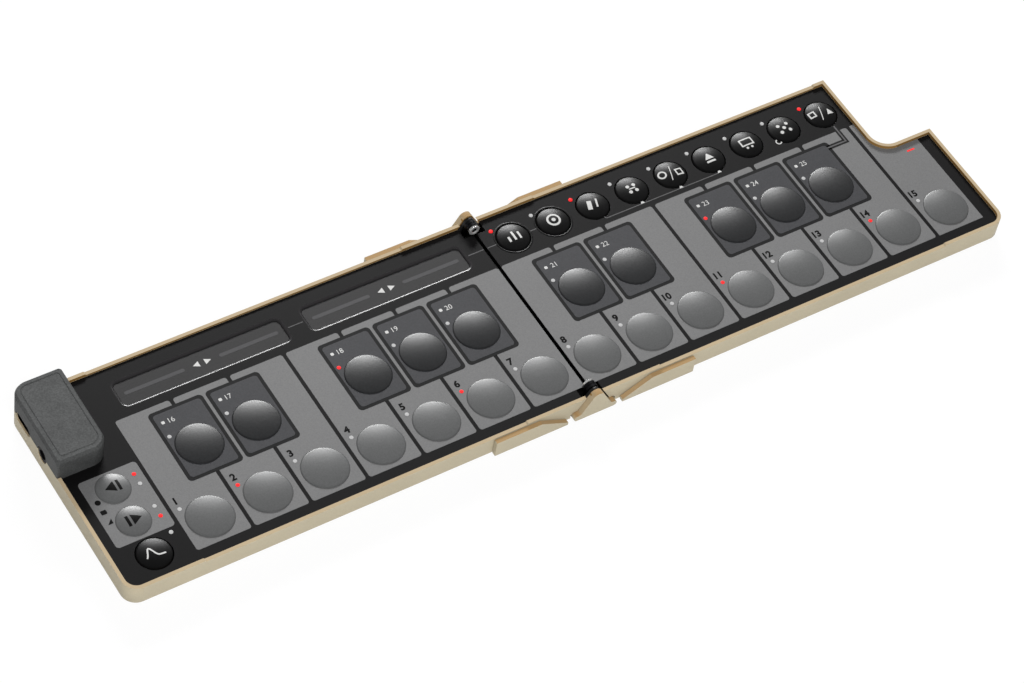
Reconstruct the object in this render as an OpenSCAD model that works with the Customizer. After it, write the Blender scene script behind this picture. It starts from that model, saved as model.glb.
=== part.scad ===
// Foldable keyboard controller: two flat halves on one hinge line, open flat.
// X runs along the keys, Y from the player to the back, Z up.
// The origin is under the hinge line, in the middle of the depth, on the table.

/* [Keys] */
// Distance between two neighbouring natural keys
key_pitch = 20; // [19:0.5:23]
// Diameter of a key pad
pad_d = 15.5; // [13:0.5:16.5]
// Height of a pad's crown above the face plate
pad_crown = 1; // [0.6:0.1:1.2]
// Height of a pad's rim above the face plate
pad_edge = 0.25; // [0.1:0.05:0.4]
// How far a pad or button can be pressed
pad_travel = 0.7; // [0.3:0.1:0.9]
// Distance from the front edge to the centres of the natural keys' pads
white_row = 14.3; // [13:0.1:16]
// Distance from the natural keys' pads back to the sharp keys' pads
row_step = 25.2; // [24:0.1:28]

/* [Buttons] */
// Diameter of a function button
button_d = 11.3; // [9:0.1:11.5]
// Distance from the back edge to the centres of the button row and the strips
button_row = 12.1; // [11:0.1:14]
// Distance from the hinge line to the first button of the row
button_first = 10.7; // [9:0.1:12]
// Distance from the last button of the row to the notch
button_last = 9.3; // [8:0.1:12]
// Distance from the front edge to the last button at the left end
panel_front = 9.9; // [9:0.1:11]
// Distance between the three buttons at the left end
panel_step = 13.25; // [12.6:0.05:14]
// Distance from the first button at the left end to the connector housing
panel_back = 10.1; // [9:0.1:11]
// Distance from the first key field to the left end's buttons
panel_inset = 11.3; // [10.5:0.1:13]

/* [Touch strips] */
// Width of a touch strip
strip_w = 11; // [8:0.5:13]
// Corner radius of a touch strip
strip_r = 2.6; // [1.5:0.1:3.5]
// Depth of a strip's surface below the face plate
strip_sink = 0.5; // [0.3:0.1:0.7]
// Thickness of a strip's sensor film
strip_t = 0.4; // [0.2:0.1:0.5]
// Distance from the hinge line to the near strip
strip_first = 7.2; // [6:0.1:10]
// Distance between the two strips
strip_gap = 6.5; // [4:0.5:10]
// Distance from the far strip to the end of the key fields
strip_last = 5.5; // [4:0.5:10]

/* [Case] */
// Depth of the case from front wall to back wall
case_depth = 79; // [78:0.5:88]
// Distance from the last key field to the right end
end_margin = 5; // [4:0.5:9]
// Radius of the outer corners
corner_r = 5; // [4:0.5:8]
// Thickness of the side walls
wall = 1.2; // [0.8:0.1:1.5]
// Width of the ledge that carries the face plate
ledge_w = 1; // [0.7:0.1:1.2]
// Thickness of the floor
floor_t = 1; // [0.9:0.1:1.4]
// Height of the low rim above the face plate
rim_low = 0.6; // [0.3:0.1:0.8]
// Extra height of the rim at the ends and beside the hinge
rim_step = 0.5; // [0.2:0.1:0.5]
// Distance from the hinge line to the start of the low rim
dip_first = 25; // [23:0.5:40]
// Distance from the end to the far end of the low rim
dip_last = 25.5; // [23:0.5:40]
// Length of the corner notch along X
notch_w = 21; // [19.5:0.5:24]
// Radius of the notch's inner corner
notch_r = 6.5; // [4:0.5:9]

/* [Wall pads] */
// How far the wall pads stand out of the walls
foot_proud = 1.8; // [1.4:0.1:2.2]
// Width of the crease between a wall pad and its wall
crease_w = 0.25; // [0.2:0.05:0.4]
// Depth of that crease
crease_d = 0.6; // [0.3:0.1:0.9]
// Height of a wall pad
foot_h = 6.6; // [5:0.1:6.8]
// Distance from the hinge line to the low tip of a wall pad
foot_tip = 10.3; // [10:0.1:13]
// Distance from the hinge line to the knee of a wall pad
foot_knee = 20.8; // [18:0.1:24]
// Distance from the hinge line to the square end of a wall pad
foot_end = 37.5; // [30:0.5:45]
// Height of a wall pad's tip
foot_tip_h = 1.2; // [0.8:0.1:2]

/* [Face plates] */
// Thickness of a face plate
plate_t = 1.25; // [1.1:0.05:1.6]
// Gap between the two halves at the hinge line
hinge_gap = 1.2; // [0.8:0.1:1.8]
// Length of a face plate's hinge notch along X
plate_notch_x = 4; // [4:0.1:4.5]
// Length of a face plate's hinge notch along Y
plate_notch_y = 4.4; // [4.4:0.1:5]
// Diameter of a light dot
light_d = 1.5; // [1:0.1:2]

/* [Boards] */
// Thickness of a circuit board
board_t = 0.8; // [0.6:0.1:1]
// Height of a contact switch
switch_h = 0.35; // [0.25:0.05:0.5]
// Diameter of a contact switch
switch_d = 6; // [4:0.5:8]
// Thickness of a pad's flange
flange_t = 0.7; // [0.5:0.1:0.9]
// Width of a pad's flange
flange_w = 0.6; // [0.4:0.1:0.7]
// Height of the plunger under a pad
plunger_h = 0.2; // [0.1:0.05:0.4]

/* [Hinge] */
// Height of the hinge axis above the face plates
axis_rise = 1.35; // [1.3:0.05:2]
// Radius of an ear's round top
ear_r = 2.3; // [2:0.1:2.6]
// Thickness of an ear
ear_t = 2.2; // [2:0.1:2.6]
// Lean of an ear's sides from upright
ear_lean = 30; // [26:1:32]
// Half the width of the spine cover
spine_half_w = 8; // [7.5:0.1:8.6]
// Height of the toes at the foot of an ear
toe_h = 2.2; // [1.8:0.1:2.4]
// Radius of the hollow between an ear's side and its toe
toe_fillet = 1.5; // [0.8:0.1:1.6]
// Thickness of the spine cover's base
base_t = 1.1; // [0.9:0.1:1.3]
// Thickness of a black liner
liner_t = 1.2; // [0.8:0.1:1.4]
// Diameter of a hinge pin
pin_d = 2.4; // [2:0.1:2.6]
// Radius of a hinge leaf's eye
eye_r = 2.2; // [2:0.1:2.4]
// Thickness of a hinge leaf
leaf_t = 1; // [0.8:0.1:1.1]
// Distance from the hinge line to the far end of a leaf's foot
leaf_reach = 17.8; // [17:0.1:19]

/* [Screws] */
// Diameter of a screw's shank
screw_d = 2; // [1.6:0.1:2.2]
// Length of a screw's shank
screw_l = 2.6; // [2.2:0.1:2.8]
// Diameter of a screw's head
screw_head_d = 3.6; // [3:0.1:3.8]
// Height of a screw's head
screw_head_h = 0.8; // [0.6:0.1:0.9]

/* [Connector housing] */
// Width of the housing along X
block_w = 17.6; // [17:0.1:18.4]
// Radius of the housing's free corner
block_r = 5; // [3:0.5:7]
// Thickness of the housing's walls
block_wall = 1.4; // [1:0.1:1.8]
// Chamfer around the housing's top
block_chamfer = 1.3; // [0.8:0.1:1.3]
// How far the housing stays below the folded outer face
block_shy = 0.3; // [0.1:0.1:2]
// Place of the USB socket along the housing, as a share of its depth from the back
usb_share = 0.2923; // [0.27:0.01:0.31]
// Place of the audio jack along the housing, as a share of its depth from the back
jack_share = 0.6892; // [0.67:0.01:0.7]
// Width of the USB socket's shell
usb_w = 8.94; // [8.34:0.1:9.14]
// Height of the USB socket's shell
usb_h = 3.26; // [2.96:0.1:3.46]
// Depth of the USB socket
usb_l = 7.4; // [6:0.1:9]
// Outer diameter of the audio jack's nose
jack_nose_d = 5.6; // [5:0.1:6]
// Bore of the audio jack
jack_bore_d = 3.6; // [3.5:0.05:3.7]
// Length of the audio jack's body
jack_l = 13; // [12:0.5:14.5]

/* [Hidden] */
$fn = 64;
left_keys = 7;
right_keys = 8;
keys = left_keys + right_keys;
sharp_after = [1, 2, 4, 5, 6, 8, 9, 11, 12, 13];
sharps = len(sharp_after);
top_buttons = 9;
panel_buttons = 3;
eps = 0.02;

// Clearances
pad_clear = 0.3;
seat_gap = 0.05;
plate_clear = 0.15;
fit_gap = 0.03;
pin_gap = 0.05;
spine_gap = 0.3;
ear_gap = 0.45;
base_gap = 0.2;
leaf_gap = 0.2;
notch_clear = 1.8;

// Heights, stacked from the table up
step_z = base_t + base_gap;
step_t = 0.9;
step_top = step_z + step_t;
board_z = max(step_top, floor_t + 1) + 0.1;
board_top = board_z + board_t;
switch_top = board_top + switch_h;
plunger_z = switch_top + pad_travel + seat_gap;
flange_z = plunger_z + plunger_h;
plate_z = flange_z + flange_t + seat_gap;
plate_top = plate_z + plate_t;
low_z = plate_top + rim_low;
high_z = low_z + rim_step;
axis_z = plate_top + axis_rise;
block_top = 2 * axis_z - block_shy;

// Lengths along X
half_len = right_keys * key_pitch + end_margin;
notch_x = half_len - notch_w;
bay_x = spine_half_w + spine_gap;
base_half_w = spine_half_w - 0.3;
riser_t = 1.2;
end_wall_x = 2.7;
end_wall_t = 1.2;
key_end = left_keys * key_pitch;
panel_x = -key_end - panel_inset;
button_pitch = (notch_x - button_first - button_last) / (top_buttons - 1);
strip_len = (key_end - strip_first - strip_gap - strip_last) / 2;
block_x = -half_len + block_w;

// Places along Y
back_y = case_depth / 2;
white_y = -back_y + white_row;
black_y = white_y + row_step;
button_y = back_y - button_row;
last_panel_y = -back_y + panel_front;
panel_y = [for (i = [panel_buttons - 1 : -1 : 0]) last_panel_y + i * panel_step];
block_y = panel_y[0] + panel_back;
block_d = back_y - block_y;
notch_y = block_y - notch_clear;
ear_y = back_y + foot_proud - ear_t;
liner_y = ear_y - 0.1 - liner_t;
left_leaf_y = liner_y - leaf_gap - leaf_t;
right_leaf_y = left_leaf_y - leaf_gap - leaf_t;
head_y = right_leaf_y - leaf_gap - screw_head_h;
pocket_y = back_y - wall - plate_notch_y;

// Screws: three pairs through each floor and two on each leaf
post_x = [1.5 * key_pitch, 4.5 * key_pitch, 6.9 * key_pitch];
post_y = [(white_y + black_y) / 2, (black_y + button_y) / 2];
post_d = screw_d + 2.5;
boss_d = post_d + 2.5;
leaf_screw_x = [leaf_reach - 2.3 - screw_head_d - 0.3, leaf_reach - 2.3];
leaf_foot_w = screw_head_d + 0.2;
leaf_screw_y = back_y - wall - leaf_gap - leaf_foot_w / 2;
leaf_wide_x = bay_x + 0.6;
leaf_z = step_top;
seat_z = screw_head_h + 0.05;

// Light dots: beside each pad, each button and on the left end's panel
light_dx = 7.02;
light_dy = 6.38;
button_light_dx = 5.3;
button_light_dy = 5.45;
panel_light_dx = 8.1;
panel_light_dy = 1.96;

// Connector sockets
socket_z = low_z;
jack_y = back_y - jack_share * block_d;
usb_y = back_y - usb_share * block_d;
socket_board_t = 1;
socket_board_z = socket_z - usb_h / 2 - socket_board_t;
socket_recess = 0.5;
socket_clear = 0.3;
jack_body_w = 6.6;
jack_body_h = 5;
socket_board_x = [-half_len + wall + ledge_w + socket_clear, block_x - block_wall - 0.4];
socket_board_y = [block_y + block_wall + 0.5, back_y - wall - ledge_w - socket_clear];
socket_post_d = 3;
socket_post_x = [socket_board_x[0] + 2, socket_board_x[1] - 2];
socket_post_y = [socket_board_y[0] + 2, socket_board_y[1] - 2];

// Flex cable between the boards
flex_y = [black_y + pad_d / 2 + flange_w + 0.9, button_y - button_d / 2 - flange_w - 0.9];
flex_t = 0.2;
flex_end = 14;
flex_z = board_top + seat_gap + flex_t / 2;
flex_dip = step_z + 0.9;

white_names = [for (k = [1 : keys]) str("key_pad_", k)];
sharp_names = [for (k = [1 : sharps]) str("sharp_pad_", k)];
top_names = [for (k = [1 : top_buttons]) str("top_button_", k)];
panel_names = [for (k = [1 : panel_buttons]) str("panel_button_", k)];
fixed_names = [
    "left_case", "left_plate", "left_board", "left_switches", "left_lights",
    "connector_housing", "usb_socket", "audio_jack", "connector_board",
    "touch_strips", "left_hinge_leaves", "left_screws", "flex_cable",
    "right_case", "right_plate", "right_board", "right_switches", "right_lights",
    "right_hinge_leaves", "right_screws",
    "spine_cover", "spine_liners", "hinge_pins"
];

// Centre of natural key k, counted from the left
function white_x(k) = (k - left_keys - 0.5) * key_pitch;
// Centre of the sharp key after natural key k
function sharp_x(k) = (k - left_keys) * key_pitch;
// Centre of button k of the row along the back
function top_x(k) = button_first + (k - 1) * button_pitch;

// Centres of pads and buttons on each half
left_pads = concat(
    [for (k = [1 : left_keys]) [white_x(k), white_y]],
    [for (k = sharp_after) if (k < left_keys) [sharp_x(k), black_y]]
);
right_pads = concat(
    [for (k = [left_keys + 1 : keys]) [white_x(k), white_y]],
    [for (k = sharp_after) if (k > left_keys) [sharp_x(k), black_y]]
);
left_buttons = [for (y = panel_y) [panel_x, y]];
right_buttons = [for (k = [1 : top_buttons]) [top_x(k), button_y]];

// Centres of the light dots on each half
left_dots = concat(
    [for (p = left_pads) p + [-light_dx, light_dy]],
    [for (i = [0, 1], s = [1, -1]) left_buttons[i] + [panel_light_dx, s * panel_light_dy]],
    [left_buttons[2] + [panel_light_dx, button_light_dy - 0.8]]
);
right_dots = concat(
    [for (p = right_pads) p + [-light_dx, light_dy]],
    [for (p = right_buttons) p + [-button_light_dx, button_light_dy]]
);
hinge_light = right_dots[0];
tab_side = 0.3;
power_light = [white_x(keys) + 4, notch_y - wall - 3.2];
power_light_size = [3, 0.6];

// Rectangle with round corners, from exact circles and squares
module rounded_rect(x0, x1, y0, y1, r) {
    translate([x0 + r, y0]) square([x1 - x0 - 2 * r, y1 - y0]);
    translate([x0, y0 + r]) square([x1 - x0, y1 - y0 - 2 * r]);
    for (x = [x0 + r, x1 - r], y = [y0 + r, y1 - r]) translate([x, y]) circle(r);
}

// Extrudes an XZ profile from y0 to y1
module along_y(y0, y1) {
    translate([0, y1, 0]) rotate([90, 0, 0]) linear_extrude(y1 - y0) children();
}

// Repeats its children at the front and at the back
module both_ends() {
    children();
    mirror([0, 1, 0]) children();
}

// Void of the corner notch, grown by g
module notch_outline(g) {
    r = notch_r + g;
    far = half_len;
    translate([notch_x - g + r, notch_y - g]) square(far);
    translate([notch_x - g, notch_y - g + r]) square(far);
    translate([notch_x - g + r, notch_y - g + r]) circle(r);
}

// Plan of the right half, drawn in by the given inset
module half_outline(inset, notched) {
    difference() {
        intersection() {
            rounded_rect(-half_len, half_len - inset, -back_y + inset, back_y - inset, corner_r - inset);
            translate([hinge_gap / 2, -case_depth]) square([half_len, 2 * case_depth]);
        }
        if (notched) notch_outline(inset);
    }
}

// Distance of an ear's leaning side from the axis, grown by g, just inside the round top
function ear_side(g) = ear_r + g - 0.03;
// Half width of an ear between its leaning sides at height z, grown by g
function ear_half(z, g) = (ear_side(g) + (axis_z - z) * sin(ear_lean)) / cos(ear_lean);

// Ear outline in XZ without its toes, grown by g and cut off at height z
module ear_triangle(g, z) {
    n = ear_side(g) * [cos(ear_lean), sin(ear_lean)];
    translate([0, axis_z]) circle(ear_r + g);
    polygon([
        [n.x, axis_z + n.y], [ear_half(z, g), z],
        [-ear_half(z, g), z], [-n.x, axis_z + n.y]
    ]);
}

// Base of an ear with round toes, grown by g
module ear_toes(g) {
    reach = spine_half_w - toe_h / 2;
    translate([-reach, -g]) square([2 * reach, toe_h + 2 * g]);
    for (s = [-1, 1]) translate([s * reach, toe_h / 2]) circle(toe_h / 2 + g);
}

// Hollow rounding between an ear's right side and its toe
module ear_fillet() {
    r = toe_fillet;
    z = toe_h + r;
    x = (ear_side(r) + (axis_z - z) * sin(ear_lean)) / cos(ear_lean);
    difference() {
        polygon([
            [ear_half(toe_h, 0) - r / 2, toe_h - r / 4], [x, toe_h - r / 4], [x, z],
            [x - r * cos(ear_lean), z - r * sin(ear_lean)]
        ]);
        translate([x, z]) circle(r + eps);
    }
}

// Clear space around the spine cover's ears at the end of a wall
module ear_void() {
    along_y(liner_y - leaf_gap / 2, back_y + foot_proud + 1) {
        ear_triangle(ear_gap, -1);
        ear_toes(ear_gap);
    }
}

// Side view of a wall pad, sloping down towards the hinge and cut down by the given drop
module pad_side(drop) {
    polygon([
        [foot_tip + drop, 0], [foot_end - drop, 0], [foot_end - drop, foot_h - drop],
        [foot_knee, foot_h - drop], [foot_tip + drop, foot_tip_h - drop / 2]
    ]);
}

// Thickened pad on the outside of a wall, set off from it by a crease
module wall_pad() {
    along_y(back_y + crease_w, back_y + foot_proud) pad_side(0);
    along_y(back_y - eps, back_y + crease_w + eps) pad_side(crease_d);
}

// Part of the long walls where the rim is lower, with sloping ends
module rim_dip() {
    dip_end = half_len - dip_last;
    along_y(back_y - wall - eps, back_y + eps) polygon([
        [dip_first + rim_step, low_z], [dip_end - rim_step, low_z],
        [dip_end + eps, high_z + eps], [dip_first - eps, high_z + eps]
    ]);
}

// Walls, ledges and floors of one half, drawn on the right side
module shell(notched) {
    deep = wall + ledge_w;
    inner_y = back_y - wall;
    press_z = flange_z - pad_travel - 0.3;
    difference() {
        union() {
            linear_extrude(high_z) half_outline(0, notched);
            both_ends() wall_pad();
        }
        // room for the board
        intersection() {
            translate([0, 0, floor_t]) linear_extrude(high_z) half_outline(deep, notched);
            translate([bay_x + riser_t, -case_depth, 0]) cube([half_len, 2 * case_depth, 2 * high_z]);
        }
        // seat of the face plate
        translate([0, 0, plate_z]) linear_extrude(high_z) half_outline(wall, notched);
        both_ends() rim_dip();
        // bay of the spine cover, with the raised floor above it
        translate([-1, -case_depth, -1]) cube([bay_x + 1, 2 * case_depth, step_z + 1]);
        translate([-1, -inner_y, step_z - 1]) cube([end_wall_x + 1, 2 * inner_y, high_z]);
        translate([end_wall_x + end_wall_t, -inner_y, step_top])
            cube([bay_x + riser_t + 1 - end_wall_x - end_wall_t, 2 * inner_y, high_z]);
        // pockets for the hinge leaves, and room for the ears
        both_ends() {
            translate([0, pocket_y, step_top]) cube([leaf_reach + 0.3, inner_y - pocket_y, high_z]);
            ear_void();
        }
        // the pad next to the hinge is pressed past the end wall
        translate([key_pitch / 2, white_y, press_z])
            cylinder(d = pad_d + 2 * flange_w + 0.8, h = high_z);
        // slot for the flex cable
        translate([0, flex_y[0] - 0.5, board_top - 0.2])
            cube([bay_x, flex_y[1] - flex_y[0] + 1, 4 * flex_t + 0.4]);
    }
}

// Tray of one half with its screw bosses, drawn on the right side
module tray(notched) {
    difference() {
        union() {
            shell(notched);
            for (x = post_x, y = post_y) translate([x, y, 0]) cylinder(d = boss_d, h = board_z);
            both_ends() for (x = leaf_screw_x) translate([x, leaf_screw_y, 0])
                cylinder(d = screw_head_d, h = leaf_z);
        }
        for (x = post_x, y = post_y) translate([x, y, -1]) {
            cylinder(d = screw_head_d + 0.4, h = seat_z + 1);
            cylinder(d = screw_d + 0.2, h = board_z + 2);
        }
        both_ends() for (x = leaf_screw_x) translate([x, leaf_screw_y, leaf_z + leaf_t - screw_l - 0.1])
            cylinder(d = screw_d + 2 * fit_gap, h = screw_l);
    }
}

// Openings in the left wall and in the housing for the two sockets
module socket_openings() {
    x0 = -half_len - 1;
    depth = block_wall + wall + 2;
    translate([x0, jack_y, socket_z]) rotate([0, 90, 0])
        cylinder(d = jack_nose_d + socket_clear, h = depth);
    half_slot = (usb_w - usb_h) / 2;
    translate([x0, usb_y, socket_z]) rotate([0, 90, 0]) linear_extrude(depth) {
        for (s = [-1, 1]) translate([0, s * half_slot]) circle(d = usb_h + 2 * socket_clear);
        square([usb_h + 2 * socket_clear, 2 * half_slot], center = true);
    }
}

module left_case() {
    color("#c9bda5") {
        difference() {
            mirror([1, 0, 0]) tray(false);
            translate([-half_len - 1, block_y - plate_clear, low_z])
                cube([block_w + plate_clear + 1, block_d + foot_proud, high_z]);
            socket_openings();
        }
        // posts under the connector board
        for (x = socket_post_x, y = socket_post_y) translate([x, y, 0])
            cylinder(d = socket_post_d, h = socket_board_z);
    }
}

module right_case() {
    color("#c9bda5") difference() {
        tray(true);
        // the first key's light pipe stands in the end wall
        translate([0, hinge_light.y - light_d / 2 - pad_clear - tab_side, step_top])
            cube([bay_x, light_d + 2 * (pad_clear + tab_side), high_z]);
    }
}

// Blank of a face plate, drawn on the right side, with its screw posts
module plate_blank(notched) {
    difference() {
        translate([0, 0, plate_z]) linear_extrude(plate_t) half_outline(wall + plate_clear, notched);
        both_ends() translate([0, pocket_y, plate_z - 1])
            cube([plate_notch_x, plate_notch_y + wall, plate_t + 2]);
    }
    for (x = post_x, y = post_y) translate([x, y, board_z]) difference() {
        cylinder(d = post_d, h = plate_z - board_z + eps);
        translate([0, 0, -1]) cylinder(d = screw_d + 2 * fit_gap, h = plate_z - board_z + 0.5);
    }
}

// Holes through a face plate for pads, buttons and light dots
module plate_holes(pads, buttons, dots) {
    translate([0, 0, plate_z - 1]) {
        for (p = pads) translate(p) cylinder(d = pad_d + 2 * pad_clear, h = plate_t + 2);
        for (p = buttons) translate(p) cylinder(d = button_d + 2 * pad_clear, h = plate_t + 2);
        for (p = dots) translate(p) cylinder(d = light_d + 2 * fit_gap, h = plate_t + 2, $fn = 32);
    }
}

// Plan of touch strip i, counted from the hinge, drawn in by the given inset
module strip_outline(i, inset) {
    x1 = -strip_first - i * (strip_len + strip_gap) - inset;
    half = strip_w / 2 - inset;
    rounded_rect(x1 - strip_len + 2 * inset, x1, button_y - half, button_y + half, strip_r - inset);
}

module left_plate() {
    color("#2c2a2c") difference() {
        mirror([1, 0, 0]) plate_blank(false);
        plate_holes(left_pads, left_buttons, left_dots);
        for (i = [0, 1]) translate([0, 0, plate_top - strip_sink - strip_t]) linear_extrude(plate_t)
            strip_outline(i, 0);
        translate([-half_len - 1, block_y + block_wall, plate_z - 1])
            cube([block_w - block_wall + 1, block_d, plate_t + 2]);
    }
}

module right_plate() {
    color("#2c2a2c") difference() {
        plate_blank(true);
        plate_holes(right_pads, right_buttons, right_dots);
        translate([power_light.x, power_light.y, plate_z - 1]) linear_extrude(plate_t + 2)
            square(power_light_size + 2 * [fit_gap, fit_gap], center = true);
    }
}

// Circuit board of one half, drawn on the right side
module board_blank(notched) {
    in = wall + ledge_w + 0.4;
    translate([0, 0, board_z]) linear_extrude(board_t) difference() {
        half_outline(in, notched);
        translate([-1, -case_depth]) square([end_wall_x + end_wall_t + 1.3, 2 * case_depth]);
        for (x = post_x, y = post_y) translate([x, y]) circle(d = post_d + 0.6);
        for (y = [-back_y, pocket_y - 1]) translate([-1, y])
            square([leaf_reach + 2, back_y - pocket_y + 1]);
    }
}

module left_board() {
    color("#1f5c3a") difference() {
        mirror([1, 0, 0]) board_blank(false);
        translate([-half_len - 1, socket_board_y[0] - 0.5, 0])
            cube([socket_board_x[1] + half_len + 1.5, block_d, 2 * board_top]);
    }
}

module right_board() {
    tab_x = hinge_light.x - light_d / 2 - tab_side;
    color("#1f5c3a") {
        board_blank(true);
        // tab under the first key's light pipe
        translate([tab_x, hinge_light.y - light_d / 2 - tab_side, board_z])
            cube([bay_x - tab_x, light_d + 2 * tab_side, board_t]);
    }
}

// Contact switches on a board, one under each pad or button
module switches(places) {
    translate([0, 0, board_top]) for (p = places) translate(p)
        cylinder(d = switch_d, h = switch_h, $fn = 32);
}

module left_switches() {
    color("#b9bcc2") switches(concat(left_pads, left_buttons));
}

module right_switches() {
    color("#b9bcc2") switches(concat(right_pads, right_buttons));
}

// Light pipes from the board up to the face plate
module lights(places) {
    translate([0, 0, board_top]) for (p = places) translate(p)
        cylinder(d = light_d, h = plate_top - board_top, $fn = 32);
}

module left_lights() {
    color("#e9e9ec") lights(left_dots);
}

module right_lights() {
    color("#e9e9ec") {
        lights(right_dots);
        translate([power_light.x, power_light.y, board_top]) linear_extrude(plate_top - board_top)
            square(power_light_size, center = true);
    }
}

// One pad or button at rest: crown, skirt, flange under the plate, plunger
module pad(d, p) {
    rise = pad_crown - pad_edge;
    ball_r = (d * d / 4 + rise * rise) / (2 * rise);
    translate([p.x, p.y, 0]) {
        intersection() {
            translate([0, 0, flange_z]) cylinder(d = d, h = plate_top + pad_crown - flange_z);
            translate([0, 0, plate_top + pad_crown - ball_r]) sphere(ball_r, $fn = 256);
        }
        translate([0, 0, flange_z]) cylinder(d = d + 2 * flange_w, h = flange_t);
        translate([0, 0, plunger_z]) cylinder(d = switch_d, h = plunger_h + eps);
    }
}

module key_pad(k) {
    color("#8d8e91") pad(pad_d, [white_x(k), white_y]);
}

module sharp_pad(k) {
    color("#55575c") pad(pad_d, [sharp_x(sharp_after[k - 1]), black_y]);
}

module panel_button(k) {
    color(k < panel_buttons ? "#8d8e91" : "#1b1b1c") pad(button_d, left_buttons[k - 1]);
}

module top_button(k) {
    color("#1b1b1c") pad(button_d, right_buttons[k - 1]);
}

// Sensor films on the floors of the two sunk strips
module touch_strips() {
    color("#333135") for (i = [0, 1]) translate([0, 0, plate_top - strip_sink - strip_t])
        linear_extrude(strip_t) strip_outline(i, fit_gap);
}

// Plan of the connector housing, drawn in by the given inset
module block_outline(inset) {
    x0 = -half_len + inset;
    x1 = block_x - inset;
    y0 = block_y + inset;
    y1 = back_y - inset;
    outer = corner_r - inset;
    free = block_r - inset;
    small = 0.8;
    difference() {
        translate([x0, y0]) square([x1 - x0, y1 - y0]);
        translate([x0 - 1, y1 - outer]) square([outer + 1, outer + 1]);
        translate([x1 - free, y0 - 1]) square([free + 1, free + 1]);
        translate([x1 - small, y1 - small]) square(small + 1);
        translate([x0 - 1, y0 - 1]) square(small + 1);
    }
    translate([x0 + outer, y1 - outer]) circle(outer);
    translate([x1 - free, y0 + free]) circle(free);
    translate([x1 - small, y1 - small]) circle(small);
    translate([x0 + small, y0 + small]) circle(small);
}

module connector_housing() {
    roof_z = block_top - block_wall;
    line_w = 0.5;
    line_in = 1.7;
    color("#5d6063") difference() {
        union() {
            translate([0, 0, low_z]) linear_extrude(block_top - block_chamfer - low_z) block_outline(0);
            hull() {
                translate([0, 0, block_top - block_chamfer - eps]) linear_extrude(eps) block_outline(0);
                translate([0, 0, block_top - eps]) linear_extrude(eps) block_outline(block_chamfer / 2);
            }
            // foot on the face plate along the front and the right side
            translate([0, 0, plate_top]) linear_extrude(low_z - plate_top + eps) intersection() {
                block_outline(0);
                mirror([1, 0]) half_outline(wall + plate_clear, false);
            }
        }
        translate([0, 0, plate_top - 1]) linear_extrude(roof_z - plate_top + 1) block_outline(block_wall);
        // engraved line around the top
        translate([0, 0, block_top - 0.25]) linear_extrude(1) difference() {
            block_outline(line_in);
            block_outline(line_in + line_w);
        }
        socket_openings();
    }
}

module connector_board() {
    size = [socket_board_x[1] - socket_board_x[0], socket_board_y[1] - socket_board_y[0]];
    color("#1f5c3a") translate([0, 0, socket_board_z]) linear_extrude(socket_board_t) difference() {
        intersection() {
            translate([socket_board_x[0], socket_board_y[0]]) square(size);
            mirror([1, 0]) half_outline(wall + ledge_w + socket_clear, false);
        }
        // the jack sits in a cut-out of the board
        translate([socket_board_x[0] - 1, jack_y - jack_body_w / 2 - 0.1])
            square([jack_l - 1, jack_body_w + 0.2]);
    }
}

// Flat oval tube of the USB socket with its tongue
module usb_socket() {
    skin = 0.3;
    half_slot = (usb_w - usb_h) / 2;
    x0 = -half_len + socket_recess;
    color("#b9bcc2") translate([x0, usb_y, socket_z]) rotate([0, 90, 0]) {
        difference() {
            linear_extrude(usb_l) {
                for (s = [-1, 1]) translate([0, s * half_slot]) circle(d = usb_h);
                square([usb_h, 2 * half_slot], center = true);
            }
            translate([0, 0, -1]) linear_extrude(usb_l) {
                for (s = [-1, 1]) translate([0, s * half_slot]) circle(d = usb_h - 2 * skin);
                square([usb_h - 2 * skin, 2 * half_slot], center = true);
            }
        }
        translate([-0.35, -usb_w / 2 + 1.4, 1]) cube([0.7, usb_w - 2.8, usb_l - 1]);
    }
}

// Audio jack: a round nose in the wall and a square body behind it
module audio_jack() {
    nose_l = wall + ledge_w + 0.6;
    x0 = -half_len + socket_recess / 2;
    color("#1a1a1b") translate([x0, jack_y, socket_z]) rotate([0, 90, 0]) difference() {
        union() {
            cylinder(d = jack_nose_d, h = nose_l + eps);
            translate([-jack_body_h / 2, -jack_body_w / 2, nose_l])
                cube([jack_body_h, jack_body_w, jack_l - nose_l]);
        }
        translate([0, 0, -1]) cylinder(d = jack_bore_d, h = jack_l);
    }
}

// Stamped hinge leaf, drawn on the right side, with its eye at y to y + leaf_t
module leaf(y) {
    foot_depth = left_leaf_y + leaf_t - leaf_screw_y + leaf_foot_w / 2;
    difference() {
        union() {
            along_y(y, y + leaf_t) {
                translate([0, axis_z]) circle(eye_r);
                polygon([
                    [0, axis_z - eye_r], [eye_r, axis_z], [plate_notch_x - 0.8, leaf_z + leaf_t],
                    [plate_notch_x - 0.8, leaf_z], [plate_notch_x - 1.6, leaf_z]
                ]);
            }
            translate([plate_notch_x - 1.6, leaf_screw_y - leaf_foot_w / 2, leaf_z])
                cube([leaf_wide_x - plate_notch_x + 2, foot_depth, leaf_t]);
            translate([leaf_wide_x, leaf_screw_y - leaf_foot_w / 2, leaf_z])
                cube([leaf_reach - leaf_wide_x, leaf_foot_w, leaf_t]);
        }
        translate([0, y - 1, axis_z]) rotate([-90, 0, 0])
            cylinder(d = pin_d + 2 * pin_gap, h = leaf_t + 2);
        for (x = leaf_screw_x) translate([x, leaf_screw_y, leaf_z - 1])
            cylinder(d = screw_d + 0.2, h = leaf_t + 2);
    }
}

module left_hinge_leaves() {
    color("#8f9195") both_ends() mirror([1, 0, 0]) leaf(left_leaf_y);
}

module right_hinge_leaves() {
    color("#8f9195") both_ends() leaf(right_leaf_y);
}

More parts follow.
